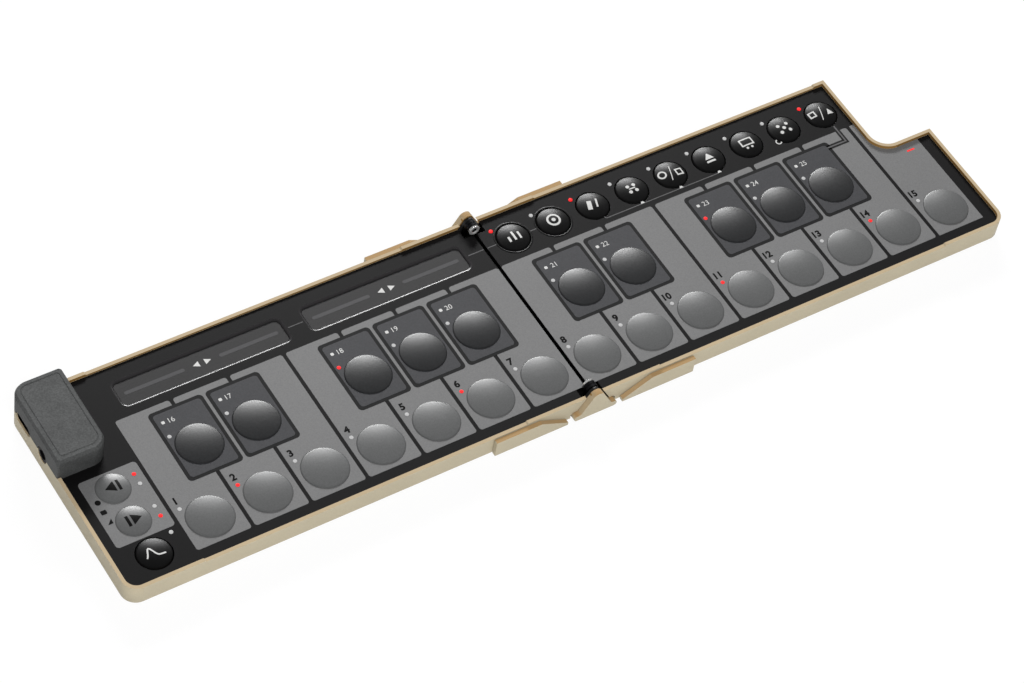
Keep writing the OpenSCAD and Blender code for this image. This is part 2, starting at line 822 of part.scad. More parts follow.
// Pan-head screw standing on its head at z = 0, shank up
module screw() {
    cylinder(d = screw_head_d, h = screw_head_h);
    cylinder(d = screw_d, h = screw_head_h + screw_l);
}

// Screws of one half, drawn on the right side
module screw_set() {
    for (x = post_x, y = post_y) translate([x, y, seat_z - screw_head_h]) screw();
    both_ends() for (x = leaf_screw_x) translate([x, leaf_screw_y, leaf_z + leaf_t + screw_head_h])
        mirror([0, 0, 1]) screw();
}

module left_screws() {
    color("#9a9ca0") mirror([1, 0, 0]) screw_set();
}

module right_screws() {
    color("#9a9ca0") screw_set();
}

// Flat cable from board to board, with a slack dip under the hinge line
module flex_cable() {
    side = [
        [flex_end, flex_z], [end_wall_x, flex_z], [end_wall_x - 1, flex_z - 0.3],
        [end_wall_x - 1.8, flex_dip + 0.3], [end_wall_x - 2.6, flex_dip]
    ];
    middle = concat(side, [for (i = [len(side) - 1 : -1 : 0]) [-side[i].x, side[i].y]]);
    up = [0, flex_t / 2];
    color("#1c1b1b") along_y(flex_y[0], flex_y[1]) polygon(concat(
        [for (q = middle) q + up], [for (i = [len(middle) - 1 : -1 : 0]) middle[i] - up]
    ));
}

module spine_cover() {
    color("#c9bda5") {
        translate([-base_half_w, -ear_y, 0]) cube([2 * base_half_w, 2 * ear_y, base_t]);
        both_ends() difference() {
            along_y(ear_y, ear_y + ear_t) {
                ear_triangle(0, toe_h / 2);
                ear_toes(0);
                ear_fillet();
                mirror([1, 0]) ear_fillet();
            }
            translate([0, ear_y - 1, axis_z]) rotate([-90, 0, 0])
                cylinder(d = pin_d + 2 * fit_gap, h = ear_t);
        }
    }
}

// Black triangular plate on the inside of each ear
module spine_liners() {
    color("#161616") both_ends() difference() {
        along_y(liner_y, liner_y + liner_t) ear_triangle(-0.3, base_t);
        translate([0, liner_y - 1, axis_z]) rotate([-90, 0, 0])
            cylinder(d = pin_d + 2 * fit_gap, h = liner_t + 2);
    }
}

// Hinge pins with slotted heads, pressed into the ears
module hinge_pins() {
    tip_y = ear_y + ear_t - 1.2;
    color("#c4c6ca") both_ends() translate([0, head_y, axis_z]) rotate([-90, 0, 0]) difference() {
        union() {
            cylinder(d = 2 * eye_r - 0.4, h = screw_head_h);
            cylinder(d = pin_d, h = tip_y - head_y);
        }
        cube([2 * eye_r, 0.7, 0.7], center = true);
    }
}

left_case();
left_plate();
left_board();
left_switches();
left_lights();
connector_housing();
usb_socket();
audio_jack();
connector_board();
touch_strips();
left_hinge_leaves();
left_screws();
flex_cable();
right_case();
right_plate();
right_board();
right_switches();
right_lights();
right_hinge_leaves();
right_screws();
spine_cover();
spine_liners();
hinge_pins();
for (k = [1 : keys]) key_pad(k);
for (k = [1 : sharps]) sharp_pad(k);
for (k = [1 : panel_buttons]) panel_button(k);
for (k = [1 : top_buttons]) top_button(k);
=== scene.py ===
# %% [markdown]
# # A folding keyboard controller
#
# Two slim halves meet at a pinned hinge. Each half is a beige tray with a dark printed face plate,
# and round pads and buttons stand through the plate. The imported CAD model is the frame: it fixes
# every place and size, and the cells below dress it with finishes, prints, lamps and soft edges.

# %% Load the frame
import math

import bmesh
import bpy
import numpy as np
from mathutils import Matrix, Vector
from mathutils.geometry import delaunay_2d_cdt


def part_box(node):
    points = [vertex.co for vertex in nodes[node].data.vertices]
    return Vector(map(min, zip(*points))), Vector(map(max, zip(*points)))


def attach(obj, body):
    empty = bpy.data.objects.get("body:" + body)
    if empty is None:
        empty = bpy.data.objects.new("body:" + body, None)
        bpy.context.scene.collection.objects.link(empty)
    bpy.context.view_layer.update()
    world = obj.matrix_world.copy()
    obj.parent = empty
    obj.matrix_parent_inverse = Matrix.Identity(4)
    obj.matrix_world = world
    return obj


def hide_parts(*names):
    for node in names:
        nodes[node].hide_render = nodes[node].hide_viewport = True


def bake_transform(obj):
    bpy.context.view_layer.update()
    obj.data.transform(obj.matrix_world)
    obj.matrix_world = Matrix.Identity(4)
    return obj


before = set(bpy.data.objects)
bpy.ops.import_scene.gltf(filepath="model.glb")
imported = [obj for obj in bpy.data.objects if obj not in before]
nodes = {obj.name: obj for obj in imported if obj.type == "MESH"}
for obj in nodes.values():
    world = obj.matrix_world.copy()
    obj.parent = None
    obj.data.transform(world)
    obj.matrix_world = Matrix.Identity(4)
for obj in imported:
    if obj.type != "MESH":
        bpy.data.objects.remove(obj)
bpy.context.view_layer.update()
MM = 0.001

# %% [markdown]
# ## Places taken from the frame
#
# Pads, buttons and plates are read from the frame's boxes, so most prints follow the CAD wherever it
# puts them. All work below is in millimetres; a piece is scaled to metres when its mesh is made.

# %% Read the places of pads, buttons and plates


def box_mm(node):
    """Lowest and highest corner of a CAD node as two arrays in millimetres."""
    low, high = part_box(node)
    return np.array(low) / MM, np.array(high) / MM


def middle(node):
    """Centre of a CAD node's box in millimetres."""
    low, high = box_mm(node)
    return (low + high) / 2


NATURALS = 15
SHARPS = 10
TOPS = 9
PANELS = 3
naturals = np.array([middle(f"key_pad_{k}") for k in range(1, NATURALS + 1)])
sharps = np.array([middle(f"sharp_pad_{k}") for k in range(1, SHARPS + 1)])
tops = np.array([middle(f"top_button_{k}") for k in range(1, TOPS + 1)])
panels = np.array([middle(f"panel_button_{k}") for k in range(1, PANELS + 1)])
PLATE_TOP = box_mm("left_plate")[1][2]
PAD_TOP = box_mm("key_pad_1")[1][2]
FLANGE_W = 0.6
PAD_R = (box_mm("key_pad_1")[1] - box_mm("key_pad_1")[0])[0] / 2 - FLANGE_W
BUTTON_R = (box_mm("top_button_1")[1] - box_mm("top_button_1")[0])[0] / 2 - FLANGE_W
PITCH = naturals[1, 0] - naturals[0, 0]
print("key pitch", PITCH, "pad radius", PAD_R, "button radius", BUTTON_R, "plate top", PLATE_TOP)

# %% [markdown]
# ## Small mesh tools
#
# Every new piece is an array of corners and an array of faces. A turned part is a profile carried
# round an upright axis, a printed field is the inside of a closed outline, and a drawn line is a
# short cross-section carried along a path.

# %% Mesh tools
INSIDE_WITH_HOLES = 5
FILL_MERGE = 1e-5
DOUBLE_M = 1e-8
CORNER_LIMIT = 0.35
ARC_STEPS = 9


def grid_faces(rows, columns, wrap):
    """Quads between neighbouring points of a grid; with wrap the last row joins the first."""
    i, j = np.meshgrid(np.arange(rows if wrap else rows - 1), np.arange(columns - 1), indexing="ij")
    k = (i + 1) % rows
    quads = np.stack([i * columns + j, k * columns + j, k * columns + j + 1, i * columns + j + 1], -1)
    return quads.reshape(-1, 4)


def turned(profile, centre, steps=64):
    """Surface of revolution: point (i, j) is profile point j turned by 2 pi i / steps about the
    upright axis through centre. A profile from the outside in at the top gives faces that look out."""
    r, z = np.asarray(profile, float).T
    angle = np.linspace(0, 2 * np.pi, steps, endpoint=False)
    x = centre[0] + np.outer(np.cos(angle), r)
    y = centre[1] + np.outer(np.sin(angle), r)
    points = np.stack([x, y, np.broadcast_to(z, x.shape)], -1).reshape(-1, 3)
    return points, grid_faces(steps, len(r), True).tolist()


def circle(centre, radius, steps=64):
    """Closed outline of a circle."""
    angle = np.linspace(0, 2 * np.pi, steps, endpoint=False)
    return np.stack([centre[0] + radius * np.cos(angle), centre[1] + radius * np.sin(angle)], -1)


def rounded(x0, x1, y0, y1, r, steps=8):
    """Closed outline of a rectangle with round corners; r is one radius, or four of them from the back
    right corner on, anticlockwise."""
    r = np.broadcast_to(np.asarray(r, float), 4)[:, None]
    inward = np.array([[-1, -1], [1, -1], [1, 1], [-1, 1]])
    centres = np.array([[x1, y1], [x0, y1], [x0, y0], [x1, y0]]) + r * inward
    angle = np.linspace(0, np.pi / 2, steps)[None, :] + (np.arange(4) * np.pi / 2)[:, None]
    arcs = centres[:, None, :] + r[..., None] * np.stack([np.cos(angle), np.sin(angle)], -1)
    return arcs.reshape(-1, 2)


def at_height(points, z):
    """Flat points with the height z added."""
    return np.column_stack([points, np.full(len(points), z)])


def filled(outlines, z):
    """Flat faces inside closed outlines at height z; an outline inside another one is a hole."""
    counts = [len(o) for o in outlines]
    starts = np.cumsum([0] + counts[:-1])
    edges = [np.stack([np.arange(n), np.roll(np.arange(n), -1)], 1) + s for n, s in zip(counts, starts)]
    corners, borders = np.concatenate(outlines).tolist(), np.concatenate(edges).tolist()
    flat = delaunay_2d_cdt(corners, borders, [], INSIDE_WITH_HOLES, FILL_MERGE)
    points = np.array([tuple(p) for p in flat[0]])
    return at_height(points, z), [list(f) for f in flat[2]]


def resampled(path, step):
    """Points along a path no further apart than step, with every corner kept."""
    path = np.asarray(path, float)
    lengths = np.linalg.norm(np.diff(path, axis=0), axis=1)
    along = np.concatenate([[0], np.cumsum(lengths)])
    extra = np.arange(0, along[-1], step)
    stations = np.unique(np.round(np.concatenate([along, extra]), 4))
    return np.column_stack([np.interp(stations, along, path[:, a]) for a in (0, 1)])


def stroke(path, width, end_width=None, step=0.4, across=4):
    """Flat line: at each station of the path a short row of points lies across it, square to the mean
    of the two neighbouring directions and widened at corners; the width may change evenly to its end."""
    p = resampled(path, step)
    ahead = np.diff(p, axis=0)
    ahead /= np.linalg.norm(ahead, axis=1)[:, None]
    before = np.vstack([ahead[:1], ahead])
    after = np.vstack([ahead, ahead[-1:]])
    mean = before + after
    mean /= np.linalg.norm(mean, axis=1)[:, None]
    widen = 1 / np.maximum(CORNER_LIMIT, (mean * before).sum(1))
    along = np.concatenate([[0], np.cumsum(np.linalg.norm(np.diff(p, axis=0), axis=1))]) / 2
    half = np.interp(along, [0, along[-1]], [width / 2, (width if end_width is None else end_width) / 2])
    side = np.column_stack([-mean[:, 1], mean[:, 0]]) * (widen * half)[:, None]
    offset = np.linspace(1, -1, across)
    points = (p[:, None, :] + offset[None, :, None] * side[:, None, :]).reshape(-1, 2)
    return at_height(points, 0), grid_faces(len(p), across, False).tolist()


def joined(parts):
    """Several meshes as one: corners in a row, faces renumbered by where their part starts."""
    starts = np.cumsum([0] + [len(p[0]) for p in parts[:-1]])
    faces = [[v + int(s) for v in f] for (_, part), s in zip(parts, starts) for f in part]
    return np.concatenate([p[0] for p in parts]), faces


def through_rings(outlines, heights):
    """Surface through closed outlines with equal counts: column j of the grid is outline j at height j."""
    points = np.stack([at_height(o, z) for o, z in zip(outlines, heights)], 1)
    return points.reshape(-1, 3), grid_faces(points.shape[0], points.shape[1], True).tolist()


def add_piece(name, mesh_arrays, material, body, smooth=True, thickness=0.0):
    """One mesh object from arrays in millimetres, with doubles merged, riding on a body if it has one. A
    flat film gets its thickness below its faces."""
    points, faces = mesh_arrays
    mesh = bpy.data.meshes.new(name)
    mesh.from_pydata((np.asarray(points) * MM).tolist(), [], faces)
    work = bmesh.new()
    work.from_mesh(mesh)
    bmesh.ops.remove_doubles(work, verts=work.verts, dist=DOUBLE_M)
    bmesh.ops.recalc_face_normals(work, faces=work.faces)
    work.to_mesh(mesh)
    work.free()
    if thickness:
        up = np.zeros(len(mesh.polygons) * 3)
        mesh.polygons.foreach_get("normal", up)
        if up[2::3].sum() < 0:
            mesh.flip_normals()
    mesh.polygons.foreach_set("use_smooth", np.full(len(mesh.polygons), smooth))
    mesh.materials.append(material)
    piece = bpy.data.objects.new(name, mesh)
    bpy.context.scene.collection.objects.link(piece)
    if thickness:
        film = piece.modifiers.new("film", "SOLIDIFY")
        film.thickness = thickness * MM
        film.offset = -1
    if body:
        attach(piece, body)
    return piece


# %% [markdown]
# ## Finishes
#
# Moulded plastic is never one flat colour: it has a slow drift of tone from the moulding and a fine
# skin that breaks up the gloss. Each finish below is a base colour with that drift, a roughness with
# a little variation, and a bump of its own grain size.

# %% Finish builder
NOISE_LOW, NOISE_HIGH = 0.3, 0.7
MIN_ROUGHNESS = 0.02
LIT_SHARE = 0.4


def new_node(tree, kind, values):
    """New shader node with plain values on its inputs."""
    node = tree.nodes.new(f"ShaderNode{kind}")
    for socket, value in values.items():
        node.inputs[socket].default_value = value
    return node


def finish(name, colour, roughness, grain_mm, depth_mm,
           drift=0.06, drift_mm=30, specular=0.5, spread=0.06, speck=0.1):
    """Plastic or paint: the colour drifts slowly over drift_mm, and the grain of grain_mm darkens and
    lightens it by the share speck, bends the normal and breaks up the gloss."""
    material = bpy.data.materials.new(name)
    material.use_nodes = True
    tree = material.node_tree
    shader = tree.nodes["Principled BSDF"]
    shader.inputs["Specular IOR Level"].default_value = specular
    place = tree.nodes.new("ShaderNodeTexCoord")
    slow = new_node(tree, "TexNoise", {"Scale": 1 / (drift_mm * MM), "Detail": 3})
    tone = tree.nodes.new("ShaderNodeValToRGB")
    darker, lighter = tone.color_ramp.elements
    darker.position, lighter.position = NOISE_LOW, NOISE_HIGH
    darker.color = [c * (1 - drift) for c in colour] + [1]
    lighter.color = [min(1, c * (1 + drift)) for c in colour] + [1]
    fine = new_node(tree, "TexNoise", {"Scale": 1 / (grain_mm * MM), "Detail": 2})
    noise_range = {"From Min": NOISE_LOW, "From Max": NOISE_HIGH}
    specks = new_node(tree, "MapRange", noise_range | {"To Min": 1 - speck, "To Max": 1 + speck})
    speckled = tree.nodes.new("ShaderNodeVectorMath")
    speckled.operation = "SCALE"
    smoothest, roughest = max(MIN_ROUGHNESS, roughness - spread), min(1, roughness + spread)
    gloss = new_node(tree, "MapRange", {"To Min": smoothest, "To Max": roughest})
    bump = new_node(tree, "Bump", {"Distance": depth_mm * MM})
    link = tree.links.new
    link(place.outputs["Object"], slow.inputs["Vector"])
    link(place.outputs["Object"], fine.inputs["Vector"])
    link(slow.outputs["Fac"], tone.inputs["Fac"])
    link(fine.outputs["Fac"], specks.inputs["Value"])
    link(tone.outputs["Color"], speckled.inputs[0])
    link(specks.outputs["Result"], speckled.inputs["Scale"])
    link(speckled.outputs["Vector"], shader.inputs["Base Color"])
    link(fine.outputs["Fac"], gloss.inputs["Value"])
    link(gloss.outputs["Result"], shader.inputs["Roughness"])
    link(fine.outputs["Fac"], bump.inputs["Height"])
    link(bump.outputs["Normal"], shader.inputs["Normal"])
    return material


def lamp_finish(name, colour, glow):
    """Small diffusing lens; a lit one also gives off its own colour."""
    base = [c * (LIT_SHARE if glow else 1) for c in colour]
    material = finish(name, base, 0.5, 0.3, 0.002, drift=0.03, drift_mm=4, specular=0.25)
    shader = material.node_tree.nodes["Principled BSDF"]
    shader.inputs["Emission Color"].default_value = list(colour) + [1]
    shader.inputs["Emission Strength"].default_value = glow
    return material


def metal_finish(name, colour, roughness, grain_mm, metallic=1.0):
    """Bare metal: a metallic shader whose roughness varies with a fine grain; a lower metallic share
    stands for brushed metal that scatters light."""
    material = finish(name, colour, roughness, grain_mm, 0.002, drift=0.08, drift_mm=3)
    material.node_tree.nodes["Principled BSDF"].inputs["Metallic"].default_value = metallic
    return material


def math_node(tree, operation, first, second):
    """Result of one sum on two values, each of them a number or another node's socket."""
    node = tree.nodes.new("ShaderNodeMath")
    node.operation = operation
    for socket, value in zip(node.inputs, (first, second)):
        if isinstance(value, (int, float)):
            socket.default_value = value
        else:
            tree.links.new(value, socket)
    return node.outputs[0]


def blended(tree, factor, under, colour):
    """Colour that is under where factor is 0 and the plain colour where it is 1."""
    node = tree.nodes.new("ShaderNodeMix")
    node.data_type = "RGBA"
    tree.links.new(factor, node.inputs["Factor"])
    tree.links.new(under, node.inputs["A"])
    node.inputs["B"].default_value = list(colour) + [1]
    return node.outputs["Result"]


# %% [markdown]
# ## Beige moulding
#
# The trays and the spine are beige plastic with painted shade on its rims and ledges, which makes them
# look warmer than its walls. The painted shade is blended in by which way a face looks and by where it
# lies, so one finish serves the whole moulding: tan painted shade where a face looks up, brown painted
# shade on the inner side of the rim, black painted shade inside the hinge bay.

# %% Beige moulding
BEIGE = (0.48, 0.426, 0.31)
# Colours of painted shade: tan on faces that look up, brown on the rim's inner side, black in the hinge bay
UPWARD_SHADE_TAN = (0.30, 0.165, 0.05)
RIM_SHADE_BROWN = (0.26, 0.145, 0.045)
BAY_SHADE_BLACK = (0.006, 0.006, 0.006)
BAY_X = 9.0
UPWARD_SHADE_SHARE = 0.4
LEDGE_SHADE_SHARE = 0.8
INNER_WALL = (163.95, 42.2)
RIM_FOOT = PLATE_TOP - 0.1
STEEP = 0.6


def shell_finish(name, bay_y, bay_z, ledge_y):
    """Beige moulding with painted shade: a warm tan where a face looks up, most on the ledges beyond
    |y| = ledge_y, brown on the inner side of the rim, and black inside the hinge bay, which is the box
    |x| < BAY_X, |y| < bay_y, z > bay_z."""
    material = finish(name, BEIGE, 0.5, 0.45, 0.006, drift=0.04, specular=0.12, speck=0.03)
    tree = material.node_tree
    shader = tree.nodes["Principled BSDF"]
    beige = shader.inputs["Base Color"].links[0].from_socket
    place = tree.nodes["Texture Coordinate"]
    split = {}
    for kind in ("Normal", "Object"):
        node = tree.nodes.new("ShaderNodeSeparateXYZ")
        tree.links.new(place.outputs[kind], node.inputs[0])
        split[kind] = node.outputs
    normal, point = split["Normal"], split["Object"]
    from_middle = [math_node(tree, "ABSOLUTE", point[axis], 0.0) for axis in "XY"]

    def all_of(*tests):
        """Product of tests that are 0 or 1."""
        result = tests[0]
        for test in tests[1:]:
            result = math_node(tree, "MULTIPLY", result, test)
        return result

    def in_box(x, y, z):
        """Tests for |x| and |y| below and z above these limits in millimetres."""
        sides = [math_node(tree, "LESS_THAN", d, limit * MM) for d, limit in zip(from_middle, (x, y))]
        return sides + [math_node(tree, "GREATER_THAN", point["Z"], z * MM)]

    # Painted shade: faces that look up are blended towards tan, more on the ledges beyond ledge_y
    on_ledge = math_node(tree, "GREATER_THAN", from_middle[1], ledge_y * MM)
    extra = math_node(tree, "MULTIPLY", on_ledge, LEDGE_SHADE_SHARE - UPWARD_SHADE_SHARE)
    share = math_node(tree, "ADD", extra, UPWARD_SHADE_SHARE)
    up_shade_amount = math_node(tree, "MULTIPLY", math_node(tree, "MAXIMUM", normal["Z"], 0.0), share)
    upward_shaded = blended(tree, up_shade_amount, beige, UPWARD_SHADE_TAN)
    # Painted shade: the steep inner side of the rim is blended towards brown
    outward = [math_node(tree, "MULTIPLY", point[axis], normal[axis]) for axis in "XY"]
    turned_in = math_node(tree, "LESS_THAN", math_node(tree, "ADD", *outward), 0.0)
    steep = math_node(tree, "LESS_THAN", math_node(tree, "ABSOLUTE", normal["Z"], 0.0), STEEP)
    rim_shaded = blended(tree, all_of(steep, turned_in, *in_box(*INNER_WALL, RIM_FOOT)), upward_shaded, RIM_SHADE_BROWN)
    # Painted shade: everything inside the hinge bay box is blended to black
    dressed = blended(tree, all_of(*in_box(BAY_X, bay_y, bay_z)), rim_shaded, BAY_SHADE_BLACK)
    tree.links.new(dressed, shader.inputs["Base Color"])
    return material


spine_bay_y = box_mm("spine_liners")[1][1] + 0.05
beige_shell = shell_finish("beige_shell", bay_y=38.25, bay_z=1.15, ledge_y=39.65)
beige_spine = shell_finish("beige_spine", bay_y=spine_bay_y, bay_z=1.05, ledge_y=0)
print("beige mouldings", beige_shell.name, beige_spine.name)

# %% [markdown]
# ## Plates, pads, prints and metal
#
# The other finishes differ only in numbers: colour, roughness, grain size and grain depth in
# millimetres, and then how far the colour drifts, how strongly the surface shines and how grainy it is.

# %% Other finishes
charcoal_plate = finish(
    "charcoal_plate", (0.003, 0.0028, 0.003), 0.36, 0.4, 0.004,
    drift=0.10, specular=0.21, speck=0.15, spread=0.03,
)
field_grey = finish("field_grey", (0.122, 0.122, 0.123), 0.5, 0.45, 0.005, drift=0.03, specular=0.5)
field_slate = finish(
    "field_slate", (0.029, 0.0295, 0.033), 0.4, 0.45, 0.004, drift=0.05, specular=0.42, speck=0.15,
)
outline_black = finish("outline_black", (0.003, 0.003, 0.0033), 0.42, 0.25, 0.003, specular=0.2)
white_ink = finish("white_ink", (0.5, 0.5, 0.49), 0.55, 0.2, 0.002)
black_ink = finish("black_ink", (0.003, 0.003, 0.003), 0.4, 0.2, 0.002, specular=0.08)
bar_grey = finish("bar_grey", (0.045, 0.0445, 0.047), 0.42, 0.25, 0.003, specular=0.35)
line_grey = finish("line_grey", (0.07, 0.069, 0.071), 0.45, 0.2, 0.002)
pad_grey = finish(
    "pad_grey", (0.084, 0.0855, 0.086), 0.38, 0.45, 0.004, drift=0.03, drift_mm=12, specular=0.55,
)
pad_slate = finish(
    "pad_slate", (0.010, 0.0105, 0.0115), 0.38, 0.45, 0.005,
    drift=0.04, drift_mm=12, specular=0.6, speck=0.3,
)
button_black = finish(
    "button_black", (0.0016, 0.0016, 0.0017), 0.37, 0.45, 0.005,
    drift=0.1, drift_mm=10, specular=0.22, speck=0.3,
)
housing_grey = finish(
    "housing_grey", (0.066, 0.068, 0.068), 0.6, 0.55, 0.05,
    drift=0.12, drift_mm=6, specular=0.15, speck=0.22,
)
strip_dark = finish("strip_dark", (0.011, 0.0105, 0.011), 0.4, 0.25, 0.003, specular=0.4)
board_green = finish("board_green", (0.02, 0.11, 0.05), 0.4, 1.5, 0.01)
liner_black = finish("liner_black", (0.006, 0.006, 0.006), 0.45, 0.3, 0.004)
socket_black = finish("socket_black", (0.004, 0.004, 0.0045), 0.55, 0.3, 0.003, specular=0.15)
flex_black = finish("flex_black", (0.012, 0.011, 0.011), 0.35, 0.3, 0.002)
gloss_charcoal = finish(
    "gloss_charcoal", (0.016, 0.015, 0.016), 0.25, 0.25, 0.001, drift=0.08, specular=0.5, spread=0.03,
)
steel = metal_finish("steel", (0.66, 0.66, 0.66), 0.24, 0.15, 0.55)
black_steel = metal_finish("black_steel", (0.025, 0.025, 0.027), 0.35, 0.15)
lamp_red = lamp_finish("lamp_red", (0.95, 0.012, 0.014), 0.8)
lamp_off = lamp_finish("lamp_off", (0.4, 0.4, 0.4), 0.0)
print("finishes", len(bpy.data.materials))

# %% [markdown]
# ## CAD nodes that keep their shape
#
# The trays, plates, boards and metal parts already have the right shape, so they only get a finish.
# A moulded edge is never razor sharp, so the outer parts also get a tiny bevel, after a weld that
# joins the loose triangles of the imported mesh.

# %% Dress the CAD nodes
node_finish = {
    "left_case": beige_shell, "right_case": beige_shell, "spine_cover": beige_spine,
    "left_plate": charcoal_plate, "right_plate": charcoal_plate,
    "left_board": board_green, "right_board": board_green, "connector_board": board_green,
    "left_switches": steel, "right_switches": steel, "usb_socket": black_steel,
    "left_hinge_leaves": black_steel, "right_hinge_leaves": black_steel,
    "left_screws": steel, "right_screws": steel,
    "connector_housing": housing_grey, "audio_jack": socket_black, "touch_strips": strip_dark,
    "spine_liners": liner_black,
}
for name, material in node_finish.items():
    nodes[name].data.materials.clear()
    nodes[name].data.materials.append(material)

EDGE_BEVEL = {
    "left_case": 0.25, "right_case": 0.25, "spine_cover": 0.35, "connector_housing": 0.35,
    "left_plate": 0.08, "right_plate": 0.08, "spine_liners": 0.15,
}
EDGE_ANGLE = 40
EDGE_SEGMENTS = 2
WELD_M = 1e-6
for name, width in EDGE_BEVEL.items():
    weld = nodes[name].modifiers.new("weld", "WELD")
    weld.merge_threshold = WELD_M
    edge = nodes[name].modifiers.new("edge", "BEVEL")
    edge.width = width * MM
    edge.segments = EDGE_SEGMENTS
    edge.limit_method = "ANGLE"
    edge.angle_limit = math.radians(EDGE_ANGLE)
    edge.use_clamp_overlap = True
print("dressed", len(node_finish), "nodes,", len(EDGE_BEVEL), "with soft edges")

# %% [markdown]
# ## Pads and buttons
#
# A pad is a moulded cap with a low crown and a small round edge. The crown falls with the square of the
# distance from its axis, which spreads the light of a lamp evenly over it, and the round edge catches
# the lamp as a thin bright crescent. The profile is turned about the pad's own axis, with the skirt and
# flange below the plate, and the cap stands for the CAD pad on the same sliding body.

# %% Pads and buttons
CROWN_TOP = PAD_TOP + 0.1
CROWN_DROP = 0.72
SHOULDER_W = 0.52
SHOULDER_R = 0.8
FLANGE_TOP = PLATE_TOP - 1.3
FLANGE_LOW = FLANGE_TOP - 0.7
PLUNGER_R = 3
CAP_STEPS = 96


def cap_height(r, radius):
    """Height of a cap's crown at distance r from its axis: it falls with the square of r, by CROWN_DROP at
    the place where the shoulder starts."""
    return CROWN_TOP - CROWN_DROP * (r / (radius - SHOULDER_W)) ** 2


def cap_profile(radius, bottom):
    """Profile of a cap from the crown over a round shoulder, down the skirt and round the flange. The
    shoulder is an arc that starts with the crown's own slope."""
    r = np.linspace(0, radius - SHOULDER_W, 24)
    crown = np.column_stack([r, cap_height(r, radius)])
    first = math.atan(2 * CROWN_DROP / r[-1])
    last = math.asin(math.sin(first) + SHOULDER_W / SHOULDER_R)
    t = np.linspace(first, last, ARC_STEPS)[1:]
    edge = np.column_stack([
        r[-1] + SHOULDER_R * (np.sin(t) - math.sin(first)),
        crown[-1, 1] - SHOULDER_R * (math.cos(first) - np.cos(t)),
    ])
    under = [
        [radius, FLANGE_TOP], [radius + FLANGE_W, FLANGE_TOP], [radius + FLANGE_W, FLANGE_LOW],
        [PLUNGER_R, FLANGE_LOW], [PLUNGER_R, bottom], [0, bottom],
    ]
    return np.vstack([crown, edge, under])[::-1]


def add_cap(node, radius, material):
    """Cap that stands for one CAD pad or button and rides on its body."""
    low, _ = box_mm(node)
    cap = turned(cap_profile(radius, low[2]), middle(node), CAP_STEPS)
    piece = add_piece(f"{node}_cap", cap, material, f"{node}_body")
    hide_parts(node)
    return piece


for k in range(1, NATURALS + 1):
    add_cap(f"key_pad_{k}", PAD_R, pad_grey)
for k in range(1, SHARPS + 1):
    add_cap(f"sharp_pad_{k}", PAD_R, pad_slate)
for k in range(1, TOPS + 1):
    add_cap(f"top_button_{k}", BUTTON_R, button_black)
for k in range(1, PANELS + 1):
    material, slot = (pad_grey, "natural_pad") if k < PANELS else (button_black, "black_button")
    add_cap(f"panel_button_{k}", BUTTON_R, material)
print("caps", NATURALS + SHARPS + TOPS + PANELS)

# %% [markdown]
# ## Printed key fields
#
# The face plate carries a printed picture of a piano keyboard: a grey field for each natural key,
# and over it a black-edged slate field for each sharp key. Ink has almost no thickness, so each field
# is a film a few hundredths of a millimetre thick that fills an outline, with a hole for its pad.

# %% Natural and sharp key fields
INK = 0.02
PAD_GAP = 0.15
HOLE_R = PAD_R + PAD_GAP
BUTTON_HOLE_R = BUTTON_R + PAD_GAP
DIVIDER = 1.3
FIELD_R = 0.9
FIELD_FRONT = naturals[0, 1] - 9.25
FIELD_BACK = naturals[0, 1] + 44.05
SHARP_SIZE = np.array([19.0, 28.1])
SHARP_SHIFT = 2.6
SHARP_LINE = 1.2
SHARP_LAP = 0.2
SHARP_R = 1.5
SHARP_INNER_R = SHARP_R - 0.4
NOTCH = np.array([144.0, 5.2])
NOTCH_R = 6.5
WALL = 1.35
LAST_FIELD_RIGHT = 159.0
HALVES = {"left": "left_half", "right": "right_half"}


def half_of(x):
    """Name of the half that a place on the plates belongs to."""
    return "left_half" if x < 0 else "right_half"


def ink_top(layer):
    """Height of the top of a layer of ink, counted from 1 on the bare plate."""
    return PLATE_TOP + layer * INK


def add_print(name, mesh_arrays, material, half):
    """Film of ink on the face plate of one half."""
    return add_piece(name, mesh_arrays, material, half, False, INK)


def natural_outline(k):
    """Outline of natural key k; the last one follows the wall round the corner notch."""
    x = naturals[k - 1, 0]
    left, right = x - PITCH / 2 + DIVIDER / 2, x + PITCH / 2 - DIVIDER / 2
    if k < NATURALS:
        return rounded(left, right, FIELD_FRONT, FIELD_BACK, FIELD_R)
    bend = np.radians(np.linspace(270, 180, 24))
    hollow = NOTCH + NOTCH_R + (NOTCH_R + WALL) * np.stack([np.cos(bend), np.sin(bend)], -1)
    front = [[left, FIELD_FRONT], [LAST_FIELD_RIGHT, FIELD_FRONT], [LAST_FIELD_RIGHT, NOTCH[1] - WALL]]
    return np.vstack([front, hollow, [[NOTCH[0] - WALL, FIELD_BACK], [left, FIELD_BACK]]])


def sharp_outline(k, inset, radius):
    """Outline of sharp key k's field, drawn in by inset."""
    x, y = sharps[k - 1, 0], sharps[k - 1, 1] + SHARP_SHIFT
    half = SHARP_SIZE / 2 - inset
    return rounded(x - half[0], x + half[0], y - half[1], y + half[1], radius)


def natural_field(k):
    """Grey field of natural key k with the hole for its pad."""
    return filled([natural_outline(k), circle(naturals[k - 1], HOLE_R)], ink_top(1))


def sharp_edge(k):
    """Black edge of sharp key k: a frame that reaches a little under the slate field."""
    inner = sharp_outline(k, SHARP_LINE + SHARP_LAP, SHARP_INNER_R)
    return filled([sharp_outline(k, 0, SHARP_R), inner], ink_top(2))


def sharp_field(k):
    """Slate field of sharp key k with the hole for its pad."""
    return filled([sharp_outline(k, SHARP_LINE, SHARP_INNER_R), circle(sharps[k - 1], HOLE_R)], ink_top(3))


